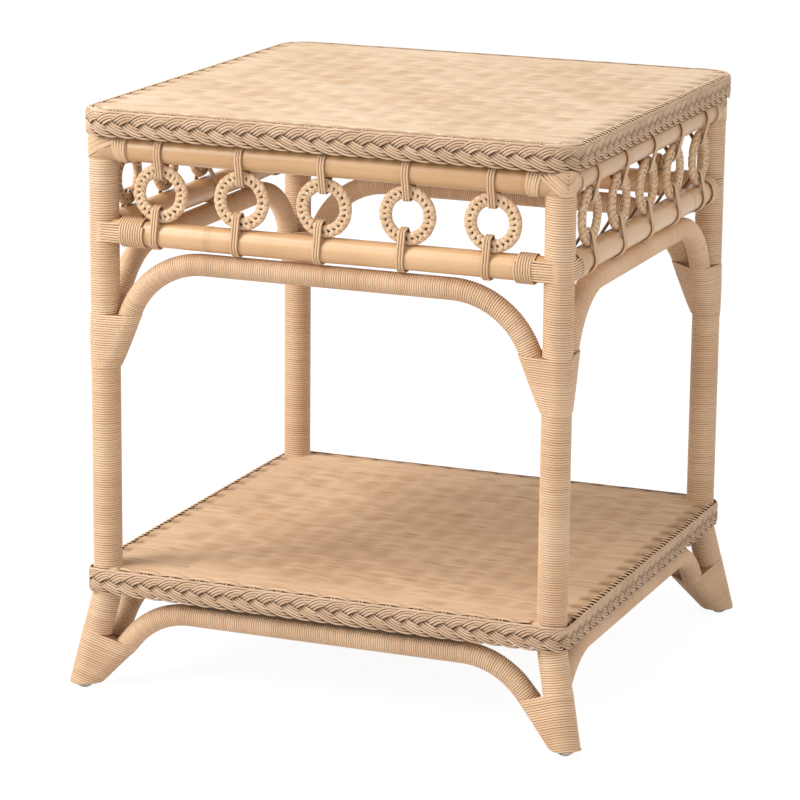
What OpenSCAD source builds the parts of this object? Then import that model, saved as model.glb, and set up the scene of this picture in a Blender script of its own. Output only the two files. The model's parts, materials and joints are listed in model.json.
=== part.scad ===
// Rattan side table with a woven top, a woven shelf and a frieze of bound rings.
// Millimetres. Origin on the floor under the middle of the table, front towards -Y.

/* [Table] */
// Height of the woven top above the floor
height = 550; // [480:1:620]
// Distance between the axes of neighbouring legs
leg_spacing = 440; // [400:1:520]
// Height of the woven shelf above the floor
shelf_height = 118.5; // [110:0.5:150]

/* [Woven panels] */
// How far the braided edge of the top reaches past the leg axes
top_reach = 19.5; // [10:0.5:24]
// Outer corner radius of the top
top_corner_r = 28; // [20:1:45]
// How far the braided edge of the shelf stands outside the leg windings
shelf_cover = 4.2; // [2.5:0.1:4.6]
// Outer corner radius of the shelf
shelf_corner_r = 17; // [14:0.5:20]
// Thickness of the plywood boards
board_t = 18; // [12:1:22]
// Thickness of the woven reed over a board
weave_t = 4; // [3:0.5:6]
// Thickness of the woven reed down the edges of a board
skirt_t = 3; // [2:0.5:4]
// Radius of the roll of the weave over the edge
roll_r = 5; // [3:0.5:7]
// Width of one rise or one dip of the weave
weave_pitch = 26; // [20:1:34]
// Depth of the dips of the weave
weave_dip = 0.9; // [0.4:0.1:1.4]
// Least width of the flat frame round the dips
weave_frame = 6; // [4:1:12]
// Height of the braided border
braid_h = 24; // [20:0.5:26]
// Thickness of the braided border
braid_t = 4.5; // [3.5:0.5:6]
// Depth of the groove along the middle of the braid
braid_groove = 1.2; // [0.8:0.1:1.4]
// How far the woven surface stands above the braid
braid_drop = 0.8; // [0:0.1:2]

/* [Legs] */
// Diameter of the bare leg pole
leg_d = 23.2; // [20:0.2:28]
// Thickness of the round reed that is wound on the poles
reed_t = 2.2; // [1.6:0.1:2.6]
// Height at which the legs start to lean out
kink_height = 95; // [85:1:105]
// Angle of the feet from the vertical
splay_angle = 14.5; // [8:0.5:18]
// Direction in which the feet lean, from the X axis
splay_turn = 34; // [30:1:60]
// Bend radius of the legs at the kink
kink_r = 60; // [40:1:90]

/* [Rails and rings] */
// Diameter of the bare rails
rail_d = 23.6; // [20:0.2:26]
// How far the rails lie outside the leg axes
rail_out = 2; // [0:0.5:4]
// Distance between the axes of the upper and the lower rails
rail_pitch = 77; // [70:0.5:90]
// Diameter of one cane hoop with its binding
hoop_d = 6; // [4.8:0.1:6.6]
// Gap between the two hoops of a ring
hoop_gap = 0.2; // [0.1:0.1:0.6]
// How far the rings lie outside the rail axes
ring_out = 4; // [3:0.5:6]
// Distance between neighbouring rings
ring_pitch = 80; // [70:1:84]
// Number of rings on a side
ring_count = 5; // [1:2:5]

/* [Bindings] */
// Thickness of the reeds that tie the rings to the rails
tie_t = 2.2; // [1.6:0.1:2.6]
// Width of the three reeds of a tie
tie_w = 8; // [6:0.5:10]
// How far the lower ties lie beside the middle of their ring
tie_shift = 4; // [0:0.5:6]
// Turns of the binding at each end of a lower rail
binding_turns = 7; // [4:1:9]
// Pitch of those turns
binding_pitch = 2.7; // [2.7:0.1:3.2]
// Distance from the binding to the leg winding, where the reeds cross the joint
saddle_w = 5; // [3:0.5:9]
// How far the corner knots stand proud of the leg winding
knot_proud = 0.4; // [0.2:0.1:1.5]
// Depth of the corner knots below the leg tops
knot_h = 23.5; // [20:0.5:26]
// Reach of the corner knots along the rails, from the leg axis
knot_reach = 29; // [24:1:34]
// Thickness of the flat peel on the rails
peel_t = 1.6; // [1:0.1:2]

/* [Arches] */
// Diameter of the bare arch poles
arch_d = 16.4; // [14:0.2:18]
// Distance from the leg axes to the ends of the bends of the upper arches
upper_inset = 27; // [23:0.5:30]
// Bend radius of the upper arches
upper_bend_r = 80; // [60:1:95]
// Bend angle of the upper arches
upper_bend = 66; // [60:1:70]
// How far the wound joint with the leg starts below the bends of the upper arches
joint_step = 3.2; // [0.2:0.2:8]
// Height of that wound joint
joint_h = 53; // [48:1:60]
// How far the joint windings stand proud of the leg winding
joint_proud = 0.4; // [0.2:0.1:1]
// Height of the axis of the lower arch crowns above the floor
lower_arch_z = 78.5; // [74:0.5:82]
// Distance from the leg axes to the ends of the bends of the lower arches
lower_inset = 26.8; // [25:0.2:29]
// Bend radius of the lower arches
lower_bend_r = 76; // [65:1:85]
// Bend angle of the lower arches
lower_bend = 50; // [45:1:56]
// Length of the lower arches past the bend
lower_end = 22; // [18:1:24]
// Part of that length that stays outside the foot winding
lower_free = 10; // [6:1:12]
// Width of the battens that carry the shelf on the arches
batten_w = 12; // [10:1:20]

/* [Feet] */
// Height of the glides under the legs
glide_h = 5.5; // [4.5:0.5:8]
// Diameter of the glides
glide_d = 15.6; // [13:0.2:18]
// Diameter of the flat under each glide
glide_flat_d = 9; // [7:0.5:11]
// Height of the straight rim of the glides
glide_rim = 2.5; // [2:0.1:3]
// Length of each leg between the kink and the foot winding
foot_free = 34; // [26:1:38]

/* [Fasteners] */
// Shank diameter of the nails and screws
nail_d = 2; // [1.6:0.1:2.6]
// Head diameter of the nails and screws
nail_head_d = 4.6; // [4:0.2:6]
// Head thickness of the nails and screws
nail_head_t = 1.2; // [0.8:0.1:1.6]
// Length of the nails in the frame
nail_len = 36; // [32:1:40]
// Length of the nails that hold the glides
glide_nail_len = 20; // [14:1:26]
// Length of the screws that hold the boards
screw_len = 34; // [32:1:38]
// Distance of the top screws from the middle of each rail
screw_offset = 120; // [105:1:125]
// Distance of the top screws inside the rail axes
screw_inset = 4; // [2:0.5:5]

/* [Fits] */
// Clearance between a winding and what lies under it
wind_gap = 0.15; // [0.1:0.05:0.3]
// Clearance between pieces that rest on or stop against each other
seat_gap = 0.3; // [0.2:0.1:0.6]
// Clearance round a nail or a screw
nail_gap = 0.05; // [0.02:0.01:0.1]

/* [Hidden] */
$fn = 48;
cut = 1;
overlap = 1;
hair = 0.05;
half = leg_spacing / 2;
leg_r = leg_d / 2;
leg_wrap_r = leg_r + reed_t;
joint_r = leg_wrap_r + joint_proud;
rail_r = rail_d / 2;
arch_r = arch_d / 2;
arch_wrap_r = arch_r + reed_t;
arch_joint_r = arch_wrap_r + joint_proud;
hoop_r = hoop_d / 2;

top_board_z = height - weave_t - board_t;
shelf_board_z = shelf_height - weave_t - board_t;
leg_top = top_board_z - seat_gap;
knot_z = leg_top - knot_h;
knot_top = height - braid_drop - braid_h - seat_gap;

rail_line = half + rail_out;
upper_rail_z = leg_top - tie_t - wind_gap - rail_r;
lower_rail_z = upper_rail_z - rail_pitch;
ring_line = rail_line + ring_out;
ring_z = (upper_rail_z + lower_rail_z) / 2;

// The outer hoop of a ring clears both rails, and the inner hoop lies inside it.
rail_clear = rail_r + hoop_r + wind_gap;
outer_hoop_r = rail_pitch / 2 - sqrt(rail_clear * rail_clear - ring_out * ring_out);
inner_hoop_r = outer_hoop_r - hoop_d - hoop_gap;

// The upper arches touch the ties under the lower rails.
upper_arch_z = lower_rail_z - rail_r - wind_gap - tie_t - seat_gap - arch_wrap_r;
upper_bend_x = half - upper_inset;
upper_crown = upper_bend_x - upper_bend_r * sin(upper_bend);
upper_bend_z =upper_arch_z - upper_bend_r * (1 - cos(upper_bend));
upper_end = upper_inset / cos(upper_bend);
joint_top = upper_bend_z - joint_step;
joint_z = joint_top - joint_h;

lower_bend_x = half - lower_inset;
lower_crown = lower_bend_x - lower_bend_r * sin(lower_bend);
lower_bend_z =lower_arch_z - lower_bend_r * (1 - cos(lower_bend));

kink_tangent = kink_r * tan(splay_angle / 2);
kink_start = kink_height + kink_tangent;
foot_len = (kink_height - kink_tangent * cos(splay_angle)) / cos(splay_angle);

// The legs already bend a little where they pass the shelf, so their notches are shifted.
shelf_reach = leg_wrap_r + shelf_cover;
shelf_bottom = shelf_height - braid_drop - braid_h;
bend_in_shelf = max(0, kink_start - shelf_bottom);
notch_shift = (kink_r - sqrt(kink_r * kink_r - bend_in_shelf * bend_in_shelf)) / 2;

weave_color = [0.93, 0.80, 0.63];
shelf_color = [0.82, 0.64, 0.46];
braid_color = [0.86, 0.74, 0.58];
reed_color = [0.87, 0.71, 0.53];
pole_color = [0.84, 0.63, 0.42];
core_color = [0.76, 0.60, 0.42];
board_color = [0.78, 0.66, 0.50];
steel_color = [0.62, 0.62, 0.64];
glide_color = [0.74, 0.75, 0.76];

// Every corner is a mirror image of the one at +X +Y.
module at_corner(sx, sy) {
    mirror([sx < 0 ? 1 : 0, 0, 0])
        mirror([0, sy < 0 ? 1 : 0, 0])
            children();
}

module at_corners() {
    for (sx = [-1, 1], sy = [-1, 1])
        at_corner(sx, sy) children();
}

// Side 0 is the front, and each next side is a quarter turn further to the right.
module at_side(side) {
    rotate([0, 0, 90 * side]) children();
}

// The same thing on both sides that meet at the +X +Y corner.
module both_ways() {
    children();
    mirror([1, -1, 0]) children();
}

// Points on the axes of the leaning foot and of the arch ends, at the +X +Y corner
function lean(z) = (kink_height - z) * tan(splay_angle);
function foot_axis(z) = [half + lean(z) * cos(splay_turn), half + lean(z) * sin(splay_turn), z];
function upper_arch_axis(z) = [upper_bend_x + (upper_bend_z - z) / tan(upper_bend), half, z];
function lower_arch_axis(z) = [lower_bend_x + (lower_bend_z - z) / tan(lower_bend), half, z];
function swapped(p) = [p.y, p.x, p.z];

// Moves to the end of a bend that starts at the origin along Z and turns towards +X.
module past_bend(bend_r, bend_angle) {
    translate([bend_r * (1 - cos(bend_angle)), 0, bend_r * sin(bend_angle)])
        rotate([0, bend_angle, 0])
            children();
}

// A disc, or a ring where it has a bore
module section(r, bore) {
    difference() {
        circle(r = r);
        if (bore > 0) circle(r = bore);
    }
}

// A pole or tube along Z: a straight length, a bend towards +X and another straight length.
// The last length starts inside the bend and is a hair thinner there, which makes them one piece.
module bent_pole(r, before, bend_r, bend_angle, after, bore = 0) {
    linear_extrude(before) section(r, bore);
    translate([0, 0, before]) {
        translate([bend_r, 0, 0])
            rotate([90, 0, 180])
                rotate_extrude(angle = bend_angle)
                    translate([bend_r, 0])
                        section(r, bore);
        past_bend(bend_r, bend_angle)
            translate([0, 0, -overlap])
                linear_extrude(after + overlap)
                    section(r - hair, bore > 0 ? bore + hair : 0);
    }
}

// The axis of the leg at +X +Y, from z_top downwards.
module leg_line(z_top) {
    translate([half, half, z_top])
        rotate([0, 0, splay_turn + 180])
            rotate([0, 180, 0])
                children();
}

module leg_pole(r, z_top, foot, bore = 0) {
    leg_line(z_top)
        bent_pole(r, z_top - kink_start, kink_r, splay_angle, foot, bore);
}

// Moves to a distance past the kink, along the leaning foot.
module along_foot(distance) {
    leg_line(kink_start)
        past_bend(kink_r, splay_angle)
            translate([0, 0, distance])
                children();
}

module below(z) {
    translate([-2 * half, -2 * half, z - 2 * half])
        cube([4 * half, 4 * half, 2 * half]);
}

// Half of an arch in the plane y = half, from its middle towards +X.
module half_arch(r, z, crown, bend_r, bend_angle, end, bore = 0) {
    translate([0, half, z])
        rotate([0, 90, 0])
            bent_pole(r, crown, bend_r, bend_angle, end, bore);
}

module upper_half(r, end, bore = 0) {
    half_arch(r, upper_arch_z, upper_crown, upper_bend_r, upper_bend, end, bore);
}

module lower_half(r, end, bore = 0) {
    half_arch(r, lower_arch_z, lower_crown, lower_bend_r, lower_bend, end, bore);
}

// Moves to a distance past the bend of an arch, along its straight end.
module along_end(z, crown, bend_r, bend_angle, distance) {
    translate([crown, half, z])
        rotate([0, 90, 0])
            past_bend(bend_r, bend_angle)
                translate([0, 0, distance])
                    children();
}

module along_upper_end(distance) {
    along_end(upper_arch_z, upper_crown, upper_bend_r, upper_bend, distance) children();
}

module along_lower_end(distance) {
    along_end(lower_arch_z, lower_crown, lower_bend_r, lower_bend, distance) children();
}

// Both halves of something, from the back side to the side wanted.
module whole_arch(side) {
    at_side(side + 2)
        for (m = [0, 1])
            mirror([m, 0, 0])
                children();
}

module rail_rod(r, z) {
    translate([-half, -rail_line, z])
        rotate([0, 90, 0])
            cylinder(r = r, h = leg_spacing);
}

module rails_at_corner(r, z) {
    both_ways()
        translate([0, rail_line, z])
            rotate([0, 90, 0])
                cylinder(r = r, h = half);
}

// A nail along Z with its head from 0 to nail_head_t; a hole for it has a mouth over the head.
module nail(len, grow = 0, mouth = 0) {
    cylinder(d = nail_d + 2 * grow, h = len + grow);
    translate([0, 0, -mouth])
        cylinder(d = nail_head_d + 2 * grow, h = nail_head_t + grow + mouth);
}

// A nail that points from p to q and starts a given distance before p.
module nail_towards(p, q, before, len, grow, mouth) {
    v = q - p;
    translate(p)
        rotate([0, 90 - atan2(v.z, norm([v.x, v.y])), atan2(v.y, v.x)])
            translate([0, 0, -before])
                nail(len, grow, mouth);
}

// Nails through the leg into both rail ends, at two heights so that they pass each other.
module rail_nails(z, grow, mouth) {
    drift = nail_head_d / 2 + nail_d;
    face = half + sqrt(leg_r * leg_r - rail_out * rail_out) - nail_head_t;
    translate([face + nail_head_t, rail_line, z + drift])
        rotate([0, -90, 0])
            nail(nail_len, grow, mouth);
    translate([rail_line, face + nail_head_t, z - drift])
        rotate([90, 0, 0])
            nail(nail_len, grow, mouth);
}

// Nails through the ends of both upper arches into the leg.
module upper_arch_nails(grow, mouth) {
    drift = nail_head_d / 2 + nail_d;
    z = joint_z + joint_h / 2;
    p = upper_arch_axis(z + drift);
    q = upper_arch_axis(z - drift);
    nail_towards(p, [half, half, p.z], arch_r - nail_head_t, half - p.x + arch_r, grow, mouth);
    nail_towards(swapped(q), [half, half, q.z], arch_r - nail_head_t, half - q.x + arch_r, grow, mouth);
}

// Nails through the ends of both lower arches into the foot.
module lower_arch_nails(grow, mouth) {
    drift = nail_head_d / 2 + nail_d / 2;
    z = lower_bend_z - (lower_free + lower_end) / 2 * sin(lower_bend);
    p = lower_arch_axis(z + drift);
    q = lower_arch_axis(z - drift);
    nail_towards(p, foot_axis(p.z), arch_r - nail_head_t, nail_len, grow, mouth);
    nail_towards(swapped(q), foot_axis(q.z), arch_r - nail_head_t, nail_len, grow, mouth);
}

module glide_nail(grow, mouth) {
    translate(foot_axis(glide_h))
        translate([0, 0, -nail_head_t])
            nail(glide_nail_len, grow, mouth);
}

// A screw from the outside of the leg, inwards along the diagonal, into the shelf board.
module shelf_screw(grow, mouth) {
    translate([half, half, shelf_board_z + board_t / 2])
        rotate([0, 90, 225])
            translate([0, 0, -leg_r])
                nail(screw_len, grow, mouth);
}

// Screws from under the front upper rail into the top board.
module rail_screws(grow, mouth) {
    for (x = [-screw_offset, screw_offset])
        translate([x, -rail_line + screw_inset, upper_rail_z - rail_r + nail_head_t])
            nail(screw_len, grow, mouth);
}

module corner_nails(grow, mouth) {
    rail_nails(upper_rail_z, grow, mouth);
    rail_nails(lower_rail_z, grow, mouth);
    upper_arch_nails(grow, mouth);
    lower_arch_nails(grow, mouth);
    shelf_screw(grow, mouth);
    glide_nail(grow, 0);
}

// Legs

module leg(sx, sy) {
    color(core_color)
        at_corner(sx, sy)
            difference() {
                leg_pole(leg_r, leg_top, foot_len);
                below(glide_h);
                corner_nails(nail_gap, nail_head_d);
            }
}

module leg_winding(sx, sy) {
    color(reed_color)
        at_corner(sx, sy) {
            difference() {
                translate([half, half, joint_top + seat_gap])
                    cylinder(r = leg_wrap_r, h = knot_z - joint_top - 2 * seat_gap);
                translate([half, half, joint_top])
                    cylinder(r = leg_r + wind_gap, h = knot_z - joint_top);
                rails_at_corner(rail_r + wind_gap, upper_rail_z);
                rails_at_corner(rail_r + wind_gap, lower_rail_z);
            }
            difference() {
                leg_pole(leg_wrap_r, joint_z - seat_gap, foot_free - seat_gap, leg_r + wind_gap);
                shelf_screw(nail_gap, nail_head_d);
            }
        }
}

// Rails

module rail(side, z) {
    color(pole_color)
        difference() {
            at_side(side) rail_rod(rail_r, z);
            at_corners() {
                translate([half, half, z - rail_d])
                    cylinder(r = leg_r + wind_gap, h = 2 * rail_d);
                rail_nails(z, nail_gap, 0);
            }
            if (z == upper_rail_z)
                at_side(side) rail_screws(nail_gap, rail_r);
        }
}

// Arches

module upper_arch(side) {
    color(core_color)
        difference() {
            whole_arch(side)
                upper_half(arch_r, upper_end);
            at_corners() {
                translate([half, half, joint_z - joint_h])
                    cylinder(r = leg_r + wind_gap, h = 3 * joint_h);
                upper_arch_nails(nail_gap, nail_head_d);
            }
        }
}

module upper_arch_winding(side) {
    color(reed_color)
        whole_arch(side)
            difference() {
                upper_half(arch_wrap_r, upper_end, arch_r + wind_gap);
                below(joint_top + seat_gap);
            }
}

module lower_arch(side) {
    color(core_color)
        difference() {
            whole_arch(side)
                lower_half(arch_r, lower_end);
            at_corners()
                lower_arch_nails(nail_gap, nail_head_d);
        }
}

module lower_arch_winding(side) {
    color(reed_color)
        whole_arch(side)
            lower_half(arch_wrap_r, lower_free - seat_gap, arch_r + wind_gap);
}

// Rings between the rails

function ring_places() = [for (i = [0 : ring_count - 1]) (i - (ring_count - 1) / 2) * ring_pitch];

module hoop(r) {
    rotate([90, 0, 0])
        rotate_extrude()
            translate([r, 0])
                circle(r = hoop_r);
}

module rings(side) {
    color(reed_color)
        at_side(side)
            for (x = ring_places())
                translate([x, -ring_line, ring_z]) {
                    hoop(outer_hoop_r);
                    hoop(inner_hoop_r);
                }
}

// A belt round two circles, as an outline in the plane of the belt.
module belt_outline(a, ra, b, rb) {
    d = norm(b - a);
    along = atan2(b.y - a.y, b.x - a.x);
    spread = acos((ra - rb) / d);
    left = [cos(along + spread), sin(along + spread)];
    right = [cos(along - spread), sin(along - spread)];
    translate(a) circle(r = ra);
    translate(b) circle(r = rb);
    polygon([a + ra * left, b + rb * left, b + rb * right, a + ra * right]);
}

// A tie round a rail and both hoops of a ring, drawn in the plane across the rail.
// It clears the inner hoop where that curves away most, at the tie's far edge.
module tie(rail_z, hoop_side, shift) {
    slope = asin((shift + tie_w / 2) / inner_hoop_r);
    hoop_end_r = hoop_r / cos(slope) + wind_gap;
    a = [-rail_line, rail_z];
    b = [-ring_line, ring_z + hoop_side * inner_hoop_r * cos(slope)];
    translate([-shift - tie_w / 2, 0, 0])
        rotate([90, 0, 90])
            linear_extrude(tie_w)
                difference() {
                    belt_outline(a, rail_r + wind_gap + tie_t, b, hoop_end_r + tie_t);
                    belt_outline(a, rail_r + wind_gap, b, hoop_end_r);
                }
}

module ring_ties(side) {
    color(reed_color)
        at_side(side)
            for (x = ring_places())
                translate([x, 0, 0]) {
                    tie(upper_rail_z, 1, 0);
                    tie(lower_rail_z, -1, tie_shift);
                }
}

// Bindings: one reed wound round the end of a rail, as a tube along a helix

binding_steps = 15;
binding_sides = 5;
binding_r = (rail_r + seat_gap + reed_t / 2) / cos(180 / binding_steps);
binding_x = half - leg_wrap_r - saddle_w - reed_t / 2;

function binding_point(i) =
    let (a = 360 * i / binding_steps)
    [binding_x - i * binding_pitch / binding_steps,
     -rail_line - binding_r * cos(a),
     lower_rail_z + binding_r * sin(a)];

function binding_ring(i) =
    let (a = 360 * i / binding_steps, out = [0, -cos(a), sin(a)])
    [for (j = [0 : binding_sides - 1])
        let (b = 360 * j / binding_sides)
        binding_point(i) + reed_t / 2 * (cos(b) * out + sin(b) * [1, 0, 0])];

binding_count = binding_turns * binding_steps;
binding_gap = min([for (i = [0 : binding_count], j = [i + binding_steps / 2 : binding_count])
    norm(binding_point(i) - binding_point(floor(j)))]) - reed_t;

module binding() {
    n = binding_count;
    s = binding_sides;
    points = [for (i = [0 : n]) each binding_ring(i)];
    walls = [for (i = [0 : n - 1], j = [0 : s - 1])
        let (k = (j + 1) % s)
        each [[i * s + j, i * s + k, i * s + s + k], [i * s + j, i * s + s + k, i * s + s + j]]];
    first = [for (j = [1 : s - 2]) [0, j + 1, j]];
    last = [for (j = [1 : s - 2]) [n * s, n * s + j, n * s + j + 1]];
    polyhedron(points = points, faces = concat(walls, first, last));
}

module rail_bindings(side) {
    echo(least_gap_of_the_rail_binding = binding_gap);
    color(reed_color)
        at_side(side)
            for (m = [0, 1])
                mirror([m, 0, 0])
                    binding();
}

// Flat peel round each top corner, over the leg and both rail ends, up to the braid of the top.
module corner_knots() {
    color(reed_color)
        at_corners()
            difference() {
                intersection() {
                    union() {
                        translate([half, half, knot_z])
                            cylinder(r = leg_wrap_r + knot_proud, h = knot_h);
                        both_ways()
                            translate([half - knot_reach, rail_line, upper_rail_z])
                                rotate([0, 90, 0])
                                    cylinder(r = rail_r + peel_t, h = knot_reach);
                    }
                    translate([0, 0, knot_z])
                        cube([2 * half, 2 * half, knot_top - knot_z]);
                }
                translate([half, half, knot_z - cut])
                    cylinder(r = leg_r + wind_gap, h = knot_h + 2 * cut);
                rails_at_corner(rail_r + wind_gap, upper_rail_z);
            }
}

// Reed wound over the leg and the ends of both upper arches.
module joint_winding(sx, sy) {
    arch_x = upper_arch_axis(joint_top).x;
    color(reed_color)
        at_corner(sx, sy)
            difference() {
                hull() {
                    translate([half, half, joint_z])
                        cylinder(r = joint_r, h = joint_h, $fn = 32);
                    both_ways()
                        translate([arch_x, half, joint_top - cut])
                            cylinder(r = arch_joint_r / sin(upper_bend), h = cut, $fn = 32);
                }
                translate([half, half, joint_z - cut])
                    cylinder(r = leg_r + wind_gap, h = joint_h + 2 * cut);
                both_ways()
                    along_upper_end(-arch_r)
                        cylinder(r = arch_r + wind_gap, h = upper_end + arch_r);
            }
}

// Reed wound over the foot and the ends of both lower arches.
module foot_windings() {
    color(reed_color)
        at_corners()
            difference() {
                hull() {
                    along_foot(foot_free)
                        cylinder(r = joint_r, h = foot_len - foot_free, $fn = 32);
                    both_ways()
                        along_lower_end(lower_free)
                            cylinder(r = arch_joint_r, h = cut, $fn = 32);
                }
                along_foot(foot_free - leg_d)
                    cylinder(r = leg_r + wind_gap, h = foot_len + leg_d);
                both_ways()
                    along_lower_end(lower_free - cut)
                        cylinder(r = arch_r + wind_gap, h = lower_end - lower_free + cut + wind_gap);
                lower_arch_nails(nail_gap, 0);
                below(glide_h);
            }
}

// Panels: a square whose edges and corners carry one outline

// The outline lies in X and Z, with X from the centre of the corner arcs outwards.
module edge_band(reach, corner_r) {
    c = half + reach - corner_r;
    for (side = [0 : 3])
        at_side(side)
            translate([c, c, 0]) {
                rotate([90, 0, 0])
                    linear_extrude(2 * c)
                        children();
                rotate_extrude(angle = 90)
                    children();
            }
}

module panel_core(reach, corner_r, z, h) {
    c = half + reach - corner_r;
    translate([-c, -c, z])
        cube([2 * c, 2 * c, h]);
}

module board(reach, corner_r, z) {
    inner_r = corner_r - braid_t - skirt_t - 2 * wind_gap;
    panel_core(reach, corner_r, z, board_t);
    edge_band(reach, corner_r)
        translate([0, z])
            square([inner_r, board_t]);
}

// The field of the weave: flat and dipped squares in turn, like a chessboard, inside a flat frame.
// A flat square lies in the middle of the panel.
module woven_field(reach, corner_r, z, h) {
    c = half + reach - corner_r;
    n = 2 * floor((c - weave_frame) / weave_pitch - 0.5) + 1;
    start = -n * weave_pitch / 2;
    top = z + h;
    knots = [for (i = [0 : n], j = [0 : n]) [start + i * weave_pitch, start + j * weave_pitch, top]];
    dips = [for (i = [0 : n - 1], j = [0 : n - 1])
        [start + (i + 0.5) * weave_pitch, start + (j + 0.5) * weave_pitch, top - weave_dip]];
    corners = [[-c, -c], [-c, c], [c, c], [c, -c]];
    upper = [for (p = corners) [p.x, p.y, top]];
    lower = [for (p = corners) [p.x, p.y, z]];
    row = n + 1;
    first_dip = row * row;
    u = first_dip + n * n;
    w = u + 4;
    squares = [for (i = [0 : n - 1], j = [0 : n - 1])
        let (a = i * row + j, b = a + row, m = first_dip + i * n + j)
        each (i + j) % 2 == 0
            ? [[a, a + 1, b + 1, b]]
            : [[a, a + 1, m], [a + 1, b + 1, m], [b + 1, b, m], [b, a, m]]];
    frame = [
        [u, u + 1, for (j = [n : -1 : 0]) j],
        [u + 1, u + 2, for (i = [n : -1 : 0]) i * row + n],
        [u + 2, u + 3, for (j = [0 : n]) n * row + j],
        [u + 3, u, for (i = [0 : n]) i * row]
    ];
    sides = [for (k = [0 : 3]) [u + k, w + k, w + (k + 1) % 4, u + (k + 1) % 4]];
    polyhedron(
        points = concat(knots, dips, upper, lower),
        faces = concat(squares, frame, sides, [[w, w + 3, w + 2, w + 1]]));
}

// The woven skin: over the board, rolled over its edge and down its sides.
module weave(reach, corner_r, z) {
    outer_r = corner_r - braid_t - wind_gap;
    inner_r = outer_r - skirt_t;
    top = z + board_t + weave_t;
    woven_field(reach, corner_r, z + board_t + wind_gap, weave_t - wind_gap);
    edge_band(reach, corner_r)
        difference() {
            union() {
                translate([0, z])
                    square([outer_r, top - roll_r - z]);
                translate([0, top - roll_r])
                    square([outer_r - roll_r, roll_r]);
                translate([outer_r - roll_r, top - roll_r])
                    circle(r = roll_r);
            }
            translate([-cut, z - cut])
                square([inner_r + cut, board_t + wind_gap + cut]);
        }
}

// The braid: two rounded lobes with a groove between them.
module braid(reach, corner_r, z) {
    lobe_h = braid_h / 2;
    lobe_r = (lobe_h * lobe_h / 4 + braid_groove * braid_groove) / (2 * braid_groove);
    top = z + board_t + weave_t - braid_drop;
    edge_band(reach, corner_r)
        intersection() {
            translate([corner_r - braid_t, top - braid_h])
                square([braid_t, braid_h]);
            for (lobe = [0.5, 1.5])
                translate([corner_r - lobe_r, top - lobe * lobe_h])
                    circle(r = lobe_r);
        }
}

module shelf_notches() {
    at_corners()
        translate([half, half, 0])
            rotate([0, 0, splay_turn])
                translate([notch_shift, 0, shelf_bottom - cut])
                    cylinder(r = leg_wrap_r + seat_gap + notch_shift, h = braid_h + leg_d);
}

module top_board() {
    color(board_color)
        difference() {
            board(top_reach, top_corner_r, top_board_z);
            for (side = [0 : 3])
                at_side(side) rail_screws(nail_gap, 0);
        }
}

module top_weave() {
    color(weave_color)
        weave(top_reach, top_corner_r, top_board_z);
}

module top_braid() {
    color(braid_color)
        braid(top_reach, top_corner_r, top_board_z);
}

module shelf_board() {
    color(board_color)
        difference() {
            board(shelf_reach, shelf_corner_r, shelf_board_z);
            shelf_notches();
            at_corners() shelf_screw(nail_gap, 0);
        }
}

module shelf_weave() {
    color(shelf_color)
        difference() {
            weave(shelf_reach, shelf_corner_r, shelf_board_z);
            shelf_notches();
        }
}

module shelf_braid() {
    color(braid_color)
        difference() {
            braid(shelf_reach, shelf_corner_r, shelf_board_z);
            shelf_notches();
        }
}

// Battens under the shelf board, on the crowns of the lower arches.
module shelf_battens() {
    z = lower_arch_z + arch_wrap_r + seat_gap;
    color(board_color)
        for (side = [0 : 3])
            at_side(side)
                translate([-lower_crown, -half - batten_w / 2, z])
                    cube([2 * lower_crown, batten_w, shelf_board_z - z]);
}

// Feet

module glides() {
    rim_r = glide_d / 2;
    flat_r = glide_flat_d / 2;
    dome_h = glide_h - glide_rim;
    dome_z = (rim_r * rim_r - flat_r * flat_r + dome_h * dome_h) / (2 * dome_h);
    dome_r = sqrt(flat_r * flat_r + dome_z * dome_z);
    color(glide_color)
        at_corners()
            difference() {
                translate([foot_axis(glide_h).x, foot_axis(glide_h).y, 0])
                    intersection() {
                        cylinder(r = rim_r, h = glide_h);
                        union() {
                            translate([0, 0, dome_z])
                                sphere(r = dome_r);
                            translate([0, 0, dome_h])
                                cylinder(r = 2 * rim_r, h = glide_h);
                        }
                    }
                glide_nail(nail_gap, 0);
            }
}

module frame_nails() {
    color(steel_color)
        at_corners() {
            rail_nails(upper_rail_z, 0, 0);
            rail_nails(lower_rail_z, 0, 0);
            upper_arch_nails(0, 0);
            lower_arch_nails(0, 0);
            glide_nail(0, 0);
        }
}

module board_screws() {
    color(steel_color) {
        for (side = [0 : 3])
            at_side(side) rail_screws(0, 0);
        at_corners()
            shelf_screw(0, 0);
    }
}

leg(-1, -1);  // leg_front_left
leg(1, -1);  // leg_front_right
leg(1, 1);  // leg_back_right
leg(-1, 1);  // leg_back_left
leg_winding(-1, -1);  // leg_winding_front_left
leg_winding(1, -1);  // leg_winding_front_right
leg_winding(1, 1);  // leg_winding_back_right
leg_winding(-1, 1);  // leg_winding_back_left
rail(0, upper_rail_z);  // upper_rail_front
rail(1, upper_rail_z);  // upper_rail_right
rail(2, upper_rail_z);  // upper_rail_back
rail(3, upper_rail_z);  // upper_rail_left
rail(0, lower_rail_z);  // lower_rail_front
rail(1, lower_rail_z);  // lower_rail_right
rail(2, lower_rail_z);  // lower_rail_back
rail(3, lower_rail_z);  // lower_rail_left
upper_arch(0);  // upper_arch_front
upper_arch(1);  // upper_arch_right
upper_arch(2);  // upper_arch_back
upper_arch(3);  // upper_arch_left
upper_arch_winding(0);  // upper_arch_winding_front
upper_arch_winding(1);  // upper_arch_winding_right
upper_arch_winding(2);  // upper_arch_winding_back
upper_arch_winding(3);  // upper_arch_winding_left
lower_arch(0);  // lower_arch_front
lower_arch(1);  // lower_arch_right
lower_arch(2);  // lower_arch_back
lower_arch(3);  // lower_arch_left
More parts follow.
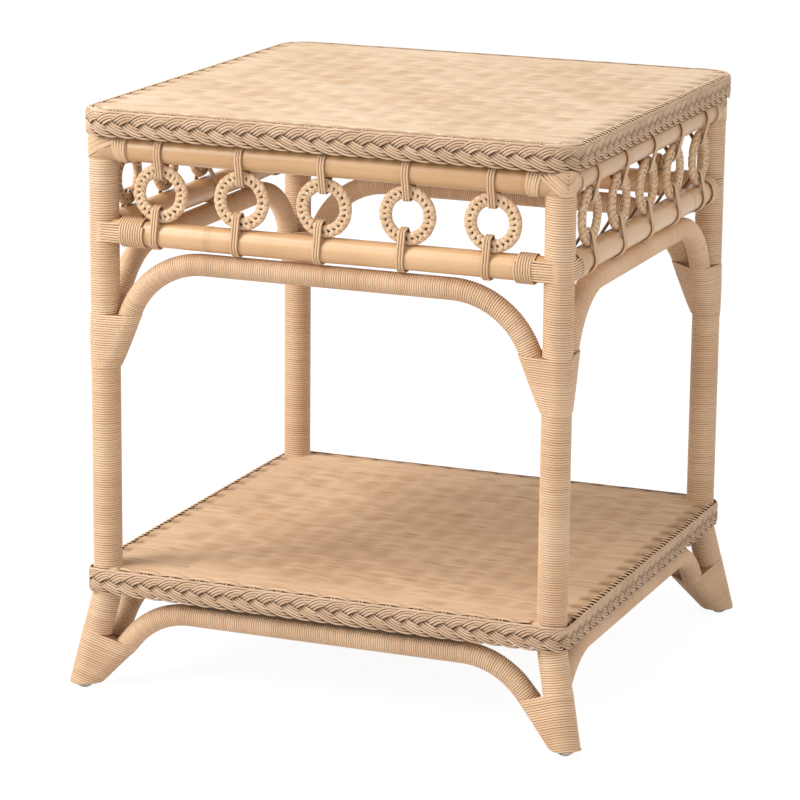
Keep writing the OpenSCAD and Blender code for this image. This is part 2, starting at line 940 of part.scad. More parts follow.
lower_arch_winding(0);  // lower_arch_winding_front
lower_arch_winding(1);  // lower_arch_winding_right
lower_arch_winding(2);  // lower_arch_winding_back
lower_arch_winding(3);  // lower_arch_winding_left
rings(0);  // rings_front
rings(1);  // rings_right
rings(2);  // rings_back
rings(3);  // rings_left
ring_ties(0);  // ring_ties_front
ring_ties(1);  // ring_ties_right
ring_ties(2);  // ring_ties_back
ring_ties(3);  // ring_ties_left
rail_bindings(0);  // rail_bindings_front
rail_bindings(1);  // rail_bindings_right
rail_bindings(2);  // rail_bindings_back
rail_bindings(3);  // rail_bindings_left
corner_knots();
joint_winding(-1, -1);  // joint_winding_front_left
joint_winding(1, -1);  // joint_winding_front_right
joint_winding(1, 1);  // joint_winding_back_right
joint_winding(-1, 1);  // joint_winding_back_left
foot_windings();
top_board();
top_weave();
top_braid();
shelf_board();
shelf_weave();
shelf_braid();
shelf_battens();
glides();
frame_nails();
board_screws();
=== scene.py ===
# %% [markdown]
# # A rattan side table, wound, woven and braided
#
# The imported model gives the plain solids: poles, sleeves, boards and rings. This lesson dresses
# them with the work that shows: reed wound on poles, a woven top, braided edges and bound rings.
# Every new surface is worked out with numpy as whole arrays, in millimetres, and put into a mesh.

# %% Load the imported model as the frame
import json
from math import cos, pi, radians, sin, tan

import bpy
import numpy as np
from mathutils import Matrix, Vector


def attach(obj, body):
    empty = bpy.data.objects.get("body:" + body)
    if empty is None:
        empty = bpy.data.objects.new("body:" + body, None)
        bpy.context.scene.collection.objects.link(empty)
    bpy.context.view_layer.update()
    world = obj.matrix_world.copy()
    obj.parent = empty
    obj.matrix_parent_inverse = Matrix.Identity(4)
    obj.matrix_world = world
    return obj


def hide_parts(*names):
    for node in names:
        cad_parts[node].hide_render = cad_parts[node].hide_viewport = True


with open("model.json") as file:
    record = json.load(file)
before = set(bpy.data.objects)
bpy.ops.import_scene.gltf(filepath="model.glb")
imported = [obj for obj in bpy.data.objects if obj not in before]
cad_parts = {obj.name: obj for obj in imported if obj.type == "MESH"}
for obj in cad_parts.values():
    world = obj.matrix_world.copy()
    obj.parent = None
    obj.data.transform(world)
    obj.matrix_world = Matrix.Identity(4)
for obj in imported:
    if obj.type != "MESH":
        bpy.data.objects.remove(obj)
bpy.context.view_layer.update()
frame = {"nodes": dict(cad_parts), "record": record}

# %% [markdown]
# ## Sizes
#
# The table stands with the middle of its four feet at the origin, front towards -Y. The sizes below
# are those of the solids, so that each winding lies on the pole that carries it. What is there four
# times is drawn once, at the front side or at the corner +X +Y, and then turned or mirrored.

# %% Sizes of the table in millimetres
HEIGHT = 550.0
SHELF_Z = 118.5
HALF = 220.0  # from the middle to the axis of a leg
LEG_R = 13.8
JOINT_R = 14.2
REED = 2.2
KINK_Z = 95.0  # the bend of the legs
KINK_R = 60.0
SPLAY = radians(14.5)
SPLAY_TURN = radians(34.0)
FOOT_FREE = 34.0  # from the bend down to the foot's winding
GLIDE_H = 5.5
TOP_C = 211.5  # from the middle to the centres of a panel's rounded corners
SHELF_C = 221.0
KNOT_Z = 504.2
RAIL_R = 11.8
RAIL_LEN = 428.0
RAIL_LINE = 222.0
UPPER_RAIL_Z = 513.55
LOWER_RAIL_Z = 436.55
RING_LINE = 226.0
RING_Z = 475.05
RING_X = 80.0 * np.arange(-2, 3)
HOOP_R = 3.0
OUTER_HOOP = 24.1
INNER_HOOP = 17.9
JOINT_TOP = 361.0
JOINT_LOW = 308.0
ARCH_R = 10.4
UPPER_ARCH = dict(z=411.7, crown=119.9, bend=80.0, angle=radians(66), end=29.0)
LOWER_ARCH = dict(z=78.5, crown=135.0, bend=76.0, angle=radians(50), end=16.0)
SIDES = ["front", "right", "back", "left"]
CORNERS = {"front_left": (-1, -1), "front_right": (1, -1), "back_right": (1, 1), "back_left": (-1, 1)}
chance = np.random.default_rng(7)
print("sizes set for a table", HEIGHT, "mm high")

# %% [markdown]
# ## From arrays to a mesh
#
# A sheet is a set of points with the quads and triangles between them. Each point also carries two
# numbers: how dark its own strand of reed is, and how much painted shade it gets where it lies in a
# gap (on the rails, the dark leaf rings instead). The materials read both, so a strand keeps its
# tone along its whole length and the gaps stay painted dark from every side.

# %% Points and faces
def xyz(*parts):
    """Points or directions from their parts, each part repeated to the shape of all of them."""
    return np.stack(np.broadcast_arrays(*parts), -1)


def clamp(value):
    """The value, kept from 0 to 1."""
    return np.clip(value, 0, 1)


def grid_faces(n, m, wrap_n=False, wrap_m=False):
    """Quads of a grid of n by m points; a wrapped side runs on from its last points to its first."""
    rows, columns = n if wrap_n else n - 1, m if wrap_m else m - 1
    i, j = np.meshgrid(np.arange(rows), np.arange(columns), indexing="ij")
    i2, j2 = (i + 1) % n, (j + 1) % m
    return xyz(i * m + j, i2 * m + j, i2 * m + j2, i * m + j2).reshape(-1, 4)


def fan(hub, rim):
    """Triangles from one hub point to every two neighbours on a closed rim."""
    return xyz(hub, rim, np.roll(rim, -1))


# %% Sheets
def sheet(points, quads, tris=None, tint=0.5, shade_and_marks=0.0):
    """A sheet of points (n, 3) with quads (q, 4) and triangles (t, 3), tint and painted shade per point.
    """
    n = len(points)
    tris = np.zeros((0, 3), int) if tris is None else tris
    return dict(p=points, q=quads, t=tris, tint=np.broadcast_to(tint, n), shade_and_marks=np.broadcast_to(shade_and_marks, n))


def joined(sheets):
    """One sheet from several: the indices of each are raised by the points before it."""
    start = np.cumsum([0] + [len(s["p"]) for s in sheets[:-1]])
    one = {key: np.concatenate([s[key] for s in sheets]) for key in ("p", "tint", "shade_and_marks")}
    faces = {key: np.concatenate([s[key] + k for s, k in zip(sheets, start)]) for key in ("q", "t")}
    return {**one, **faces}


def turned(s, quarter):
    """A sheet turned about the Z axis by a number of quarter turns."""
    c, d = [(1, 0), (0, 1), (-1, 0), (0, -1)][quarter % 4]
    return dict(s, p=s["p"] @ np.array([[c, d, 0], [-d, c, 0], [0, 0, 1]], float))


def mirrored(s, points):
    """A sheet with the mirror image of its points, and its faces turned over so that they face out."""
    return dict(s, p=points, q=s["q"][:, ::-1], t=s["t"][:, ::-1])


def at_corner(s, corner):
    """A sheet drawn at +X +Y, moved to another corner by changing signs; one change mirrors it."""
    sx, sy = CORNERS[corner]
    points = s["p"] * [sx, sy, 1]
    return mirrored(s, points) if sx * sy < 0 else dict(s, p=points)


# %% Pieces
def make_piece(name, s, material, slot_name, *nodes):
    """Puts a sheet into a mesh, in metres, rides it on the table and lets it stand for CAD nodes."""
    used, index = np.unique(np.concatenate([s["q"].ravel(), s["t"].ravel()]), return_inverse=True)
    mesh = bpy.data.meshes.new(name)
    quads, tris = len(s["q"]), len(s["t"])
    mesh.vertices.add(len(used))
    mesh.loops.add(len(index))
    mesh.polygons.add(quads + tris)
    mesh.vertices.foreach_set("co", (s["p"][used] * 0.001).astype(np.float32).ravel())
    mesh.loops.foreach_set("vertex_index", index.astype(np.int32).ravel())
    starts = np.concatenate([np.arange(quads) * 4, quads * 4 + np.arange(tris) * 3])
    mesh.polygons.foreach_set("loop_start", starts.astype(np.int32))
    mesh.polygons.foreach_set("use_smooth", np.ones(quads + tris, bool))
    mesh.update(calc_edges=True)
    for key in ("tint", "shade_and_marks"):
        layer = mesh.attributes.new(key, "FLOAT", "POINT")
        layer.data.foreach_set("value", np.asarray(s[key], np.float32)[used])
    mesh.materials.append(material)
    piece = bpy.data.objects.new(name, mesh)
    bpy.context.collection.objects.link(piece)
    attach(piece, "root")
    if nodes:
        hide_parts(*nodes)
    print(f"{name}: {len(used)} points, {quads * 2 + tris} triangles")


# %% [markdown]
# ## Finishes
#
# Rattan peel and reed are matt to satin, tan, and each strand has its own tone. A Principled shader
# gets its colour from two tones mixed by the strand's tint and by a fine noise in Object coordinates,
# and is mixed to a dark gap colour, painted shade, where the points say that a gap begins; on the
# rails the same colour marks the leaf rings. Fibres are a stretched noise bump.

# %% Short ways to add and link shader nodes
def feed(tree, made, inputs):
    """Sets a node's inputs, by name or number: to a value, or by a link to another node's socket."""
    for key, value in inputs.items():
        if isinstance(value, bpy.types.NodeSocket):
            tree.links.new(value, made.inputs[key])
        else:
            made.inputs[key].default_value = value
    return made


def node(tree, kind, inputs, **settings):
    """A new shader node, with its inputs and its own settings."""
    made = tree.nodes.new(kind)
    for key, value in settings.items():
        setattr(made, key, value)
    return feed(tree, made, inputs)


def new_finish(name, inputs):
    """A material, its node tree, and its Principled shader with these inputs."""
    material = bpy.data.materials.new(name)
    material.use_nodes = True
    tree = material.node_tree
    return material, tree, feed(tree, tree.nodes["Principled BSDF"], inputs)


def noise_of(tree, stretch, detail):
    """A noise in Object coordinates, with so many waves to the metre along X, Y and Z."""
    place = node(tree, "ShaderNodeTexCoord", {}).outputs["Object"]
    mapping = node(tree, "ShaderNodeMapping", {"Vector": place, "Scale": stretch}).outputs["Vector"]
    noise = node(tree, "ShaderNodeTexNoise", {"Vector": mapping, "Scale": 1.0, "Detail": detail})
    return noise.outputs["Fac"]


def scaled(tree, value, factor, added=0.0, use_clamp=False):
    """value * factor + added, and kept from 0 to 1 where it is clamped."""
    inputs = {0: value, 1: factor, 2: added}
    return node(tree, "ShaderNodeMath", inputs, operation="MULTIPLY_ADD", use_clamp=use_clamp).outputs[0]


def mixed(tree, share, first, second):
    """first * (1 - share) + second * share; each colour is three numbers or another node's socket."""
    first, second = ((*c, 1) if isinstance(c, tuple) else c for c in (first, second))
    return node(tree, "ShaderNodeMix", {0: share, 6: first, 7: second}, data_type="RGBA").outputs[2]


def colour_and_bump(tree, shader, colour, height, strength, distance):
    """Links a colour to the shader, and a height to it by way of a Bump node."""
    relief = node(tree, "ShaderNodeBump", {"Strength": strength, "Distance": distance, "Height": height})
    feed(tree, shader, {"Base Color": colour, "Normal": relief.outputs["Normal"]})


# %% Reed and wood materials
def reed_finish(name, pale, dark, gap, rough=0.55, fibre=(300, 300, 300), mottle=45.0, bump=0.15,
                tint_share=0.7, coat=0.0):
    """Colour = mix(pale, dark, share of tint + rest of noise), then mixed to the gap colour, which is
    painted shade, by each point's share of it.
    """
    material, tree, shader = new_finish(name, {"Roughness": rough, "Specular IOR Level": 0.35,
                                               "Coat Weight": coat, "Coat Roughness": 0.3})
    tint, shade_and_marks = (node(tree, "ShaderNodeAttribute", {}, attribute_name=key).outputs["Fac"]
                  for key in ("tint", "shade_and_marks"))
    fine = noise_of(tree, fibre, 3.0)
    broad = noise_of(tree, (mottle, mottle, mottle), 2.0)
    noise = scaled(tree, scaled(tree, fine, 0.5, broad), 1.0 - tint_share)
    share = scaled(tree, tint, tint_share, noise, use_clamp=True)
    colour = mixed(tree, shade_and_marks, mixed(tree, share, pale, dark), gap)
    colour_and_bump(tree, shader, colour, fine, bump, 0.0006)
    return material


WINDING = reed_finish("wound_reed", (0.86, 0.61, 0.40), (0.64, 0.395, 0.225), (0.20, 0.095, 0.042))
HOOPS = reed_finish("bound_cane", (0.82, 0.58, 0.37), (0.64, 0.41, 0.235), (0.10, 0.045, 0.02))
PEEL = reed_finish("rattan_peel", (0.84, 0.59, 0.37), (0.62, 0.385, 0.21), (0.17, 0.075, 0.035),
                   rough=0.42)
WEAVE = reed_finish("woven_top_reed", (0.885, 0.70, 0.51), (0.66, 0.445, 0.265), (0.22, 0.11, 0.05),
                    fibre=(60, 900, 900), rough=0.6)
# the shelf's reed is a darker, more saturated copy of the top's: painted shade from the top above it
SHELF_REED_SHADED = reed_finish("woven_shelf_reed_shaded", (0.82, 0.575, 0.37), (0.60, 0.375, 0.21), (0.17, 0.078, 0.034),
                    fibre=(60, 900, 900), rough=0.6)
BRAID = reed_finish("braided_reed", (0.73, 0.515, 0.345), (0.50, 0.32, 0.195), (0.09, 0.04, 0.018),
                    rough=0.6)
POLE = dict(pale=(0.80, 0.515, 0.285), dark=(0.55, 0.315, 0.145), gap=(0.30, 0.15, 0.07), rough=0.36,
            mottle=22.0, bump=0.05, tint_share=0.5, coat=0.35)
POLE_X = reed_finish("bare_pole_along_x", fibre=(18, 420, 420), **POLE)
POLE_Y = reed_finish("bare_pole_along_y", fibre=(420, 18, 420), **POLE)
print("finishes:", len(bpy.data.materials))

# %% [markdown]
# ## Solids that stay in view
#
# Poles inside the windings, boards, battens, nails and glides keep their CAD solids. They need no
# strands, so two tones and one noise, drawn out along the grain, are enough for each.

# %% Materials of the solids that stay in view
def plain_finish(name, colour, other, rough, stretch, metal=0.0):
    """Two tones mixed by a stretched noise in Object coordinates, which also gives a little bump."""
    material, tree, shader = new_finish(name, {"Roughness": rough, "Metallic": metal})
    noise = noise_of(tree, stretch, 4.0)
    colour_and_bump(tree, shader, mixed(tree, noise, colour, other), noise, 0.05, 0.0005)
    return material


FINISHES = {
    "pole_core": plain_finish("pole_core", (0.60, 0.42, 0.25), (0.45, 0.30, 0.17), 0.5, (200, 200, 20)),
    "plywood": plain_finish("plywood", (0.62, 0.46, 0.30), (0.50, 0.35, 0.21), 0.6, (14, 160, 160)),
    "glide": plain_finish("glide_plastic", (0.52, 0.53, 0.54), (0.46, 0.47, 0.48), 0.4, (900, 900, 900)),
    "steel": plain_finish("nail_steel", (0.55, 0.55, 0.56), (0.42, 0.42, 0.43), 0.35, (600, 600, 600),
                          metal=1.0),
}
# the shelf's battens are painted nearly black: painted shade, as they lie in the shadow under the shelf
SHADED_BATTEN = plain_finish("batten_painted_shade", (0.12, 0.065, 0.035), (0.07, 0.04, 0.02), 0.6, (20, 200, 200))
slot_of = {entry["node"]: entry["material_slot"] for entry in frame["record"]["subparts"]}
for name, solid in frame["nodes"].items():
    finish = SHADED_BATTEN if name == "shelf_battens" else FINISHES.get(slot_of[name], FINISHES["pole_core"])
    if solid.material_slots:
        for slot in solid.material_slots:
            slot.material = finish
    else:
        solid.data.materials.append(finish)
print("solids with a finish:", len(frame["nodes"]))

# %% [markdown]
# ## Strands
#
# Everything here that isn't a board is a strand: a reed, a peel or a cane. A strand is a tube along a
# path, and hundreds of them are computed at once. Curve objects with a bevel would do the same, but
# arrays let each strand carry its own tone and keep the count of faces low.

# %% Tubes along many paths at once
STRAND = np.radians([0, 48, 88, 180, 272, 312])  # most of a strand's faces lie on the side that shows


def unit(v):
    """Vectors scaled to length one."""
    return v / np.maximum(np.linalg.norm(v, axis=-1, keepdims=True), 1e-9)


def tubes(paths, outward, thick, wide=None, sides=6, closed=False, tint=None, shade_and_marks=0.0, around=None):
    """Tubes along paths (m, n, 3).

    At every path point the ring is: point + thick * cos(a) * normal + wide * sin(a) * binormal, where
    the normal is the outward direction made square to the path, and the binormal is path x normal.
    A strand gets painted shade where it turns away from the normal, towards the gap to its neighbour.
    """
    m, n, _ = paths.shape
    wide = thick if wide is None else wide
    a = np.arange(sides) * 2 * pi / sides if around is None else around
    sides = len(a)
    if closed:
        along = unit(np.roll(paths, -1, 1) - np.roll(paths, 1, 1))
    else:
        along = unit(np.gradient(paths, axis=1))
    outward = np.broadcast_to(outward, paths.shape)
    normal = unit(outward - (outward * along).sum(-1, keepdims=True) * along)
    binormal = np.cross(along, normal)
    thick = np.broadcast_to(thick, (m, n))[..., None, None]
    wide = np.broadcast_to(wide, (m, n))[..., None, None]
    ring = (paths[:, :, None] + thick * np.cos(a)[:, None] * normal[:, :, None]
            + wide * np.sin(a)[:, None] * binormal[:, :, None])
    first = np.arange(m)[:, None] * n * sides
    quads = (first[:, None] + grid_faces(n, sides, closed, True)[:, [0, 3, 2, 1]]).reshape(-1, 4)
    tint = chance.random(m) if tint is None else np.broadcast_to(tint, m)
    tints = np.repeat(tint, n * sides)
    painted_side_shade = 0.75 * clamp((1 - np.cos(a) - 0.25) / 0.75)
    point_shade_and_marks = clamp(np.broadcast_to(shade_and_marks, (m, n))[..., None] + painted_side_shade).reshape(-1)
    if closed:
        return sheet(ring.reshape(-1, 3), quads, None, tints, point_shade_and_marks)
    k = np.arange(sides)
    k2 = (k + 1) % sides
    hub = m * n * sides + np.arange(m)[:, None]
    last = first + (n - 1) * sides
    caps = [xyz(hub, first + k2, first + k), xyz(hub + m, last + k, last + k2)]
    # the end caps of the strands get a little painted shade too
    return sheet(np.concatenate([ring.reshape(-1, 3), paths[:, 0], paths[:, -1]]), quads,
                 np.concatenate([cap.reshape(-1, 3) for cap in caps]),
                 np.concatenate([tints, tint, tint]), np.concatenate([point_shade_and_marks, np.full(2 * m, 0.3)]))


# %% [markdown]
# ## Poles wound with reed
#
# One long reed is wound round each pole, turn against turn. As a helical tube, two hundred turns on
# twelve poles would cost millions of faces. Only the outer half shows, so it is one skin: a helical
# grid whose rows follow the reed, low in the gap between two turns and round over each reed. Where a
# winding takes in several poles, the outline of each turn is the taut band round circles.

# %% Paths of the poles
def bent_path(start, ahead, aside, before, bend_r, angle, after):
    """Straight, then an arc of radius bend_r towards aside, then straight again, a point each 2 mm."""
    start, ahead, aside = (np.array(v, float) for v in (start, ahead, aside))
    s = np.arange(0, before, 2.0)[:, None]
    a = np.linspace(0, angle, 24)[:, None]
    e = np.arange(2.0, after + 2.0, 2.0)[:, None]
    corner = start + before * ahead
    bend = corner + bend_r * (1 - np.cos(a)) * aside + bend_r * np.sin(a) * ahead
    past = bend[-1] + e * (sin(angle) * aside + cos(angle) * ahead)
    return np.concatenate([start + s * ahead, bend, past])


def along_path(path, s):
    """Point and direction at distances s along a path, by interpolation, and the path's length."""
    d = np.concatenate([[0], np.cumsum(np.linalg.norm(np.diff(path, axis=0), axis=1))])
    tangent = unit(np.gradient(path, d, axis=0))
    point = xyz(*(np.interp(s, d, path[:, k]) for k in range(3)))
    ahead = unit(xyz(*(np.interp(s, d, tangent[:, k]) for k in range(3))))
    return point, ahead, d[-1]


def taut_band(n, centres, radii):
    """Outline of a band round circles: for each facing direction n, the circle that reaches furthest."""
    reach = np.stack([(c * n).sum(-1) + r for c, r in zip(centres, radii)], 0)
    best = reach.argmax(0)
    c = np.stack([np.broadcast_to(c, n.shape) for c in centres], 0)
    r = np.stack([np.broadcast_to(r, n.shape[:-1]) for r in radii], 0)
    pick = np.arange(len(best))
    return c[best, pick] + r[best, pick][:, None] * n


# %% The winding itself
ROWS = 5  # rows of points over the width of one reed


def wound(place, length, around, pitch=2.25):
    """A skin of reed turns over a pole.

    place(s, a) gives the surface point at distance s that faces angle a, and the direction it faces.
    Point (t, row) lies at angle 2 pi t / around and distance pitch * (t / around + f), f = row / rows,
    so the rows climb one pitch a turn. The height is three quarters of a round reed's, which is
    r * sqrt(1 - (2 f - 1)^2) - r, less a little wear. Here and there a loose turn has a deeper gap.
    """
    turns = max(int(length / pitch), 1)
    pitch = length / (turns + 1)
    whole = np.arange(turns + 3)
    t, row = np.meshgrid(np.arange((turns + 1) * around + 1), np.arange(ROWS), indexing="ij")
    t, row = t.ravel(), row.ravel()
    turn, f = t / around, row / ROWS
    point, facing = place(np.minimum(pitch * (turn + f), length), 2 * pi * t / around)
    wear = chance.random(turns + 3)
    loose = np.interp(turn, whole, (chance.random(turns + 3) ** 5) * 0.9)
    height = REED / 2 * (np.sqrt(clamp(1 - (2 * f - 1) ** 2)) - 1) * 0.75
    height = np.where(row == 0, height * (1 + loose), height) - 0.12 * np.interp(turn, whole, wear)
    points = point + height[:, None] * facing
    slow = np.sin(whole * 0.11 + wear[0] * 6) * 0.18
    tint = clamp(np.interp(turn, whole, 0.25 + 0.5 * wear + slow))
    # painted shade in the gap row between two turns, more where a turn is loose
    shade_and_marks = np.where(row == 0, 0.75 + 0.25 * np.minimum(loose * 2, 1), 0.0)
    full = turns * around
    tt, rr = np.meshgrid(np.arange(full), np.arange(ROWS), indexing="ij")
    here = tt * ROWS + rr
    up = np.where(rr < ROWS - 1, here + 1, (tt + around) * ROWS)
    quads = xyz(here, here + ROWS, up + ROWS, up).reshape(-1, 4)
    low = np.concatenate([np.arange(around + 1) * ROWS, np.arange(ROWS - 1, 0, -1)])
    high = low + full * ROWS
    hubs = np.array([points[low].mean(0), points[high].mean(0)])
    n = len(points)
    # the two end caps of a winding get painted shade
    return sheet(np.concatenate([points, hubs]), quads,
                 np.concatenate([fan(n, low)[:, [0, 2, 1]], fan(n + 1, high)]),
                 np.concatenate([tint, [0.5, 0.5]]), np.concatenate([shade_and_marks, [0.6, 0.6]]))


def on_path(path, binormal, radius):
    """Surface of a round pole in one plane: point + radius * (cos(a) * normal + sin(a) * binormal)."""
    binormal = np.array(binormal, float)

    def place(s, a):
        point, ahead, _ = along_path(path, s)
        facing = np.cos(a)[:, None] * unit(np.cross(binormal, ahead)) + np.sin(a)[:, None] * binormal
        return point + radius * facing, facing
    return place


def wind_corners(kind, place, length, around):
    """The same winding in every corner of the table, each time with chance turns of its own."""
    for corner in CORNERS:
        skin = wound(place, length, around=around)
        make_piece(f"wound_{kind}_{corner}", at_corner(skin, corner), WINDING, "reed_winding",
                   f"{kind}_winding_{corner}")


# %% Legs, from inside the knot down to the foot
lean = np.array([cos(SPLAY_TURN), sin(SPLAY_TURN), 0])
across = np.array([-sin(SPLAY_TURN), cos(SPLAY_TURN), 0])
down = np.array([0, 0, -1.0])
leg_top = KNOT_Z + 6
kink_start = KINK_Z + KINK_R * tan(SPLAY / 2)
foot_end = KINK_Z - KINK_R * tan(SPLAY / 2) * cos(SPLAY)
leg_path = bent_path([HALF, HALF, leg_top], down, lean, leg_top - kink_start, KINK_R, SPLAY,
                     foot_end / cos(SPLAY))
leg_length = leg_top - kink_start + KINK_R * SPLAY + FOOT_FREE + 3
wind_corners("leg", on_path(leg_path, across, LEG_R), leg_length, 22)


# %% Arches, from one leg to the next
def arch_path(z, crown, bend, angle, end):
    """The arch in the plane of the back legs, from its left end over the crown to its right end."""
    half = bent_path([0, HALF, z], [1, 0, 0], [0, 0, -1], crown, bend, angle, end)
    return np.concatenate([half[::-1] * [-1, 1, 1], half[1:]])


for kind, arch in (("upper", UPPER_ARCH), ("lower", LOWER_ARCH)):
    path = arch_path(**arch)
    length = along_path(path, np.zeros(1))[2]
    for quarter, side in enumerate(SIDES):
        skin = wound(on_path(path, [0, 1, 0], ARCH_R), length, pitch=2.2, around=18)
        make_piece(f"wound_{kind}_arch_{side}", turned(skin, quarter + 2), WINDING, "reed_winding",
                   f"{kind}_arch_winding_{side}")

# %% [markdown]
# ## Wound joints
#
# Halfway up, the reed takes in the leg and the ends of two arches: the turns start wide and draw in
# until only the leg is left. At the foot the turns lie aslant, in the plane through the leg and both
# arch ends. Both are the same taut band round three circles, two of which slide towards the first.

# %% Joints of the upper arches
JOINT_ARCH_R = 11.7
upper_end_x, upper_end_z = 193.1, 364.1  # where an upper arch ends
arch_x = upper_end_x + (upper_end_z - JOINT_TOP) / tan(UPPER_ARCH["angle"])


def joint_place(s, a):
    """Circles: the leg, and two that slide from the arch ends to the leg while they grow to its size."""
    t = clamp(s / (JOINT_TOP - JOINT_LOW))
    n = xyz(np.cos(a), -np.sin(a), 0)
    slide = (arch_x - HALF) * (1 - t) ** 0.92
    r = JOINT_ARCH_R + (JOINT_R - JOINT_ARCH_R) * t
    bulge = 0.5 * np.sin(pi * t)
    edge = taut_band(n, [np.zeros(3), xyz(slide, 0, 0), xyz(0, slide, 0)], [JOINT_R + bulge, r, r])
    return edge + xyz(HALF, HALF, JOINT_TOP - s), n


wind_corners("joint", joint_place, JOINT_TOP - JOINT_LOW, 40)

# %% Feet: where they start and end, and the slanted plane of their turns
FOOT_ARCH_R = 11.2
FOOT_R = JOINT_R - 0.03
foot_axis = sin(SPLAY) * lean + cos(SPLAY) * down
foot_top = np.array([HALF, HALF, foot_end]) + (KINK_Z - foot_end) * tan(SPLAY) * lean
foot_top = foot_top + FOOT_FREE * foot_axis
foot_low = foot_top + (foot_top[2] - GLIDE_H) / cos(SPLAY) * foot_axis
foot_span = np.linalg.norm(foot_low - foot_top)
arch_end = np.array([199.6, HALF, 43.7])  # where a lower arch ends
other_end = arch_end[[1, 0, 2]]
to_arches = unit((arch_end + other_end) / 2 - foot_top)
band_n = -to_arches
band_b = np.cross(unit(np.cross(to_arches, unit(arch_end - other_end))), band_n)
if np.dot(np.cross(band_n, band_b), foot_axis) < 0:
    band_b = -band_b


def foot_place(s, a):
    """The same band in the slanted plane; its circles slide down to the foot's end at the floor."""
    t = clamp(s / foot_span)[:, None]
    centre = foot_top + s[:, None] * foot_axis
    n = xyz(np.cos(a), np.sin(a))
    circles = [np.zeros(2)]
    for end in (arch_end, other_end):
        gone = (end + t * (foot_low - end)) - (foot_top + t * (foot_low - foot_top))
        circles.append(xyz(gone @ band_n, gone @ band_b))
    r = FOOT_ARCH_R + (JOINT_R - FOOT_ARCH_R) * t[:, 0]
    edge = taut_band(n, circles, [FOOT_R, r, r])
    facing = n[:, :1] * band_n + n[:, 1:] * band_b
    return centre + edge[:, :1] * band_n + edge[:, 1:] * band_b, facing


# %% The wound feet, cut off level with the glides
feet = []
for corner in CORNERS:
    skin = wound(foot_place, foot_span + 7, pitch=2.35, around=40)
    skin["p"][:, 2] = np.maximum(skin["p"][:, 2], GLIDE_H)
    feet.append(at_corner(skin, corner))
make_piece("wound_feet", joined(feet), WINDING, "reed_winding", "foot_windings")


# %% [markdown]
# ## Rails
#
# The rails are bare rattan, varnished. A pole like that is never quite round: it has a faint ring
# where a leaf grew, and it is a little thicker there. The surface is a tube whose radius varies.

# %% Bare rails
def bare_pole(length, seed, tone):
    """Radius = R - 0.15 + 0.3 * bell curve at each old leaf ring + 0.1 * a slow wave along the pole."""
    local = np.random.default_rng(seed)
    x = np.linspace(-length / 2, length / 2, 121)
    rings = local.uniform(-length / 2, length / 2, 2)
    bump = sum(np.exp(-((x - r) / 2.2) ** 2) for r in rings)
    radius = RAIL_R + 0.3 * bump + 0.1 * np.sin(x / 37 + seed) - 0.15
    path = xyz(x, 0.35 * np.sin(x / 90 + seed), 0.3 * np.sin(x / 70 + 2 * seed))[None]
    s = tubes(path, [0, 0, 1], radius[None], sides=24)
    grown = np.interp(s["p"][:, 0], x, clamp(bump))
    # tone darkens the whole pole: on the upper rails it is painted shade from the top's overhang; the leaf
    # rings are the cane's own darker marks
    s["tint"] = clamp(tone + 0.22 * np.sin(s["p"][:, 0] / 53 + seed) + 0.5 * grown)
    s["shade_and_marks"] = 0.25 * grown
    return s


for quarter, side in enumerate(SIDES):
    # the upper rails take the darker tone, 1.0, as painted shade under the top's overhang
    for kind, z, tone in (("upper", UPPER_RAIL_Z, 1.0), ("lower", LOWER_RAIL_Z, 0.35)):
        pole = bare_pole(RAIL_LEN, quarter * 2 + (kind == "upper") + 3, tone)
        pole["p"] = pole["p"] + [0, -RAIL_LINE, z]
        make_piece(f"bare_{kind}_rail_{side}", turned(pole, quarter), (POLE_X, POLE_Y)[quarter % 2],
                   "rattan_pole", f"{kind}_rail_{side}")

# %% [markdown]
# ## Rings
#
# Each ring is two cane hoops laid one inside the other. Peel is wound in a figure of eight over
# both, so every hoop shows broad turns, and between the crossings a band in painted shade leaves a
# dotted dark line between the hoops.

# %% Bound hoops
RING_TURNS = 24
BETWEEN = (OUTER_HOOP + INNER_HOOP) / 2
TURN_ROWS = np.array([0.0, 0.12, 0.5, 0.88])
TURN_SHAPE = np.array([0.0, 0.9, 1.15, 0.9])


def hoop(radius, seed, gap_side):
    """A ring tube: each turn of peel is flat over most of its width and drops into a gap at its edge."""
    local = np.random.default_rng(seed)
    rows, sides = len(TURN_ROWS), 8
    a = ((np.arange(RING_TURNS)[:, None] + TURN_ROWS) * 2 * pi / RING_TURNS).reshape(-1, 1)
    b = np.arange(sides)[None] * 2 * pi / sides
    f = np.tile(TURN_SHAPE, RING_TURNS)[:, None]
    swell = np.repeat(local.uniform(-0.25, 0.2, RING_TURNS), rows)[:, None]
    r = HOOP_R - 0.45 + 0.4 * f + swell * (f > 0)
    angle = a + 0.35 * (2 * pi / RING_TURNS) * np.sin(b)
    out = radius + r * np.cos(b)
    points = xyz(out * np.cos(angle), r * np.sin(b), out * np.sin(angle))
    tint = np.repeat(local.random(RING_TURNS), rows)[:, None] + 0 * angle
    # painted shade in the gaps between turns and on the side that faces the other hoop
    facing = clamp((gap_side * np.cos(b) - 0.65) / 0.35)
    shade_and_marks = clamp(0.6 * (f == 0) + 0.75 * facing)
    return sheet(points.reshape(-1, 3), grid_faces(len(a), sides, True, True), None,
                 tint.ravel(), shade_and_marks.ravel())


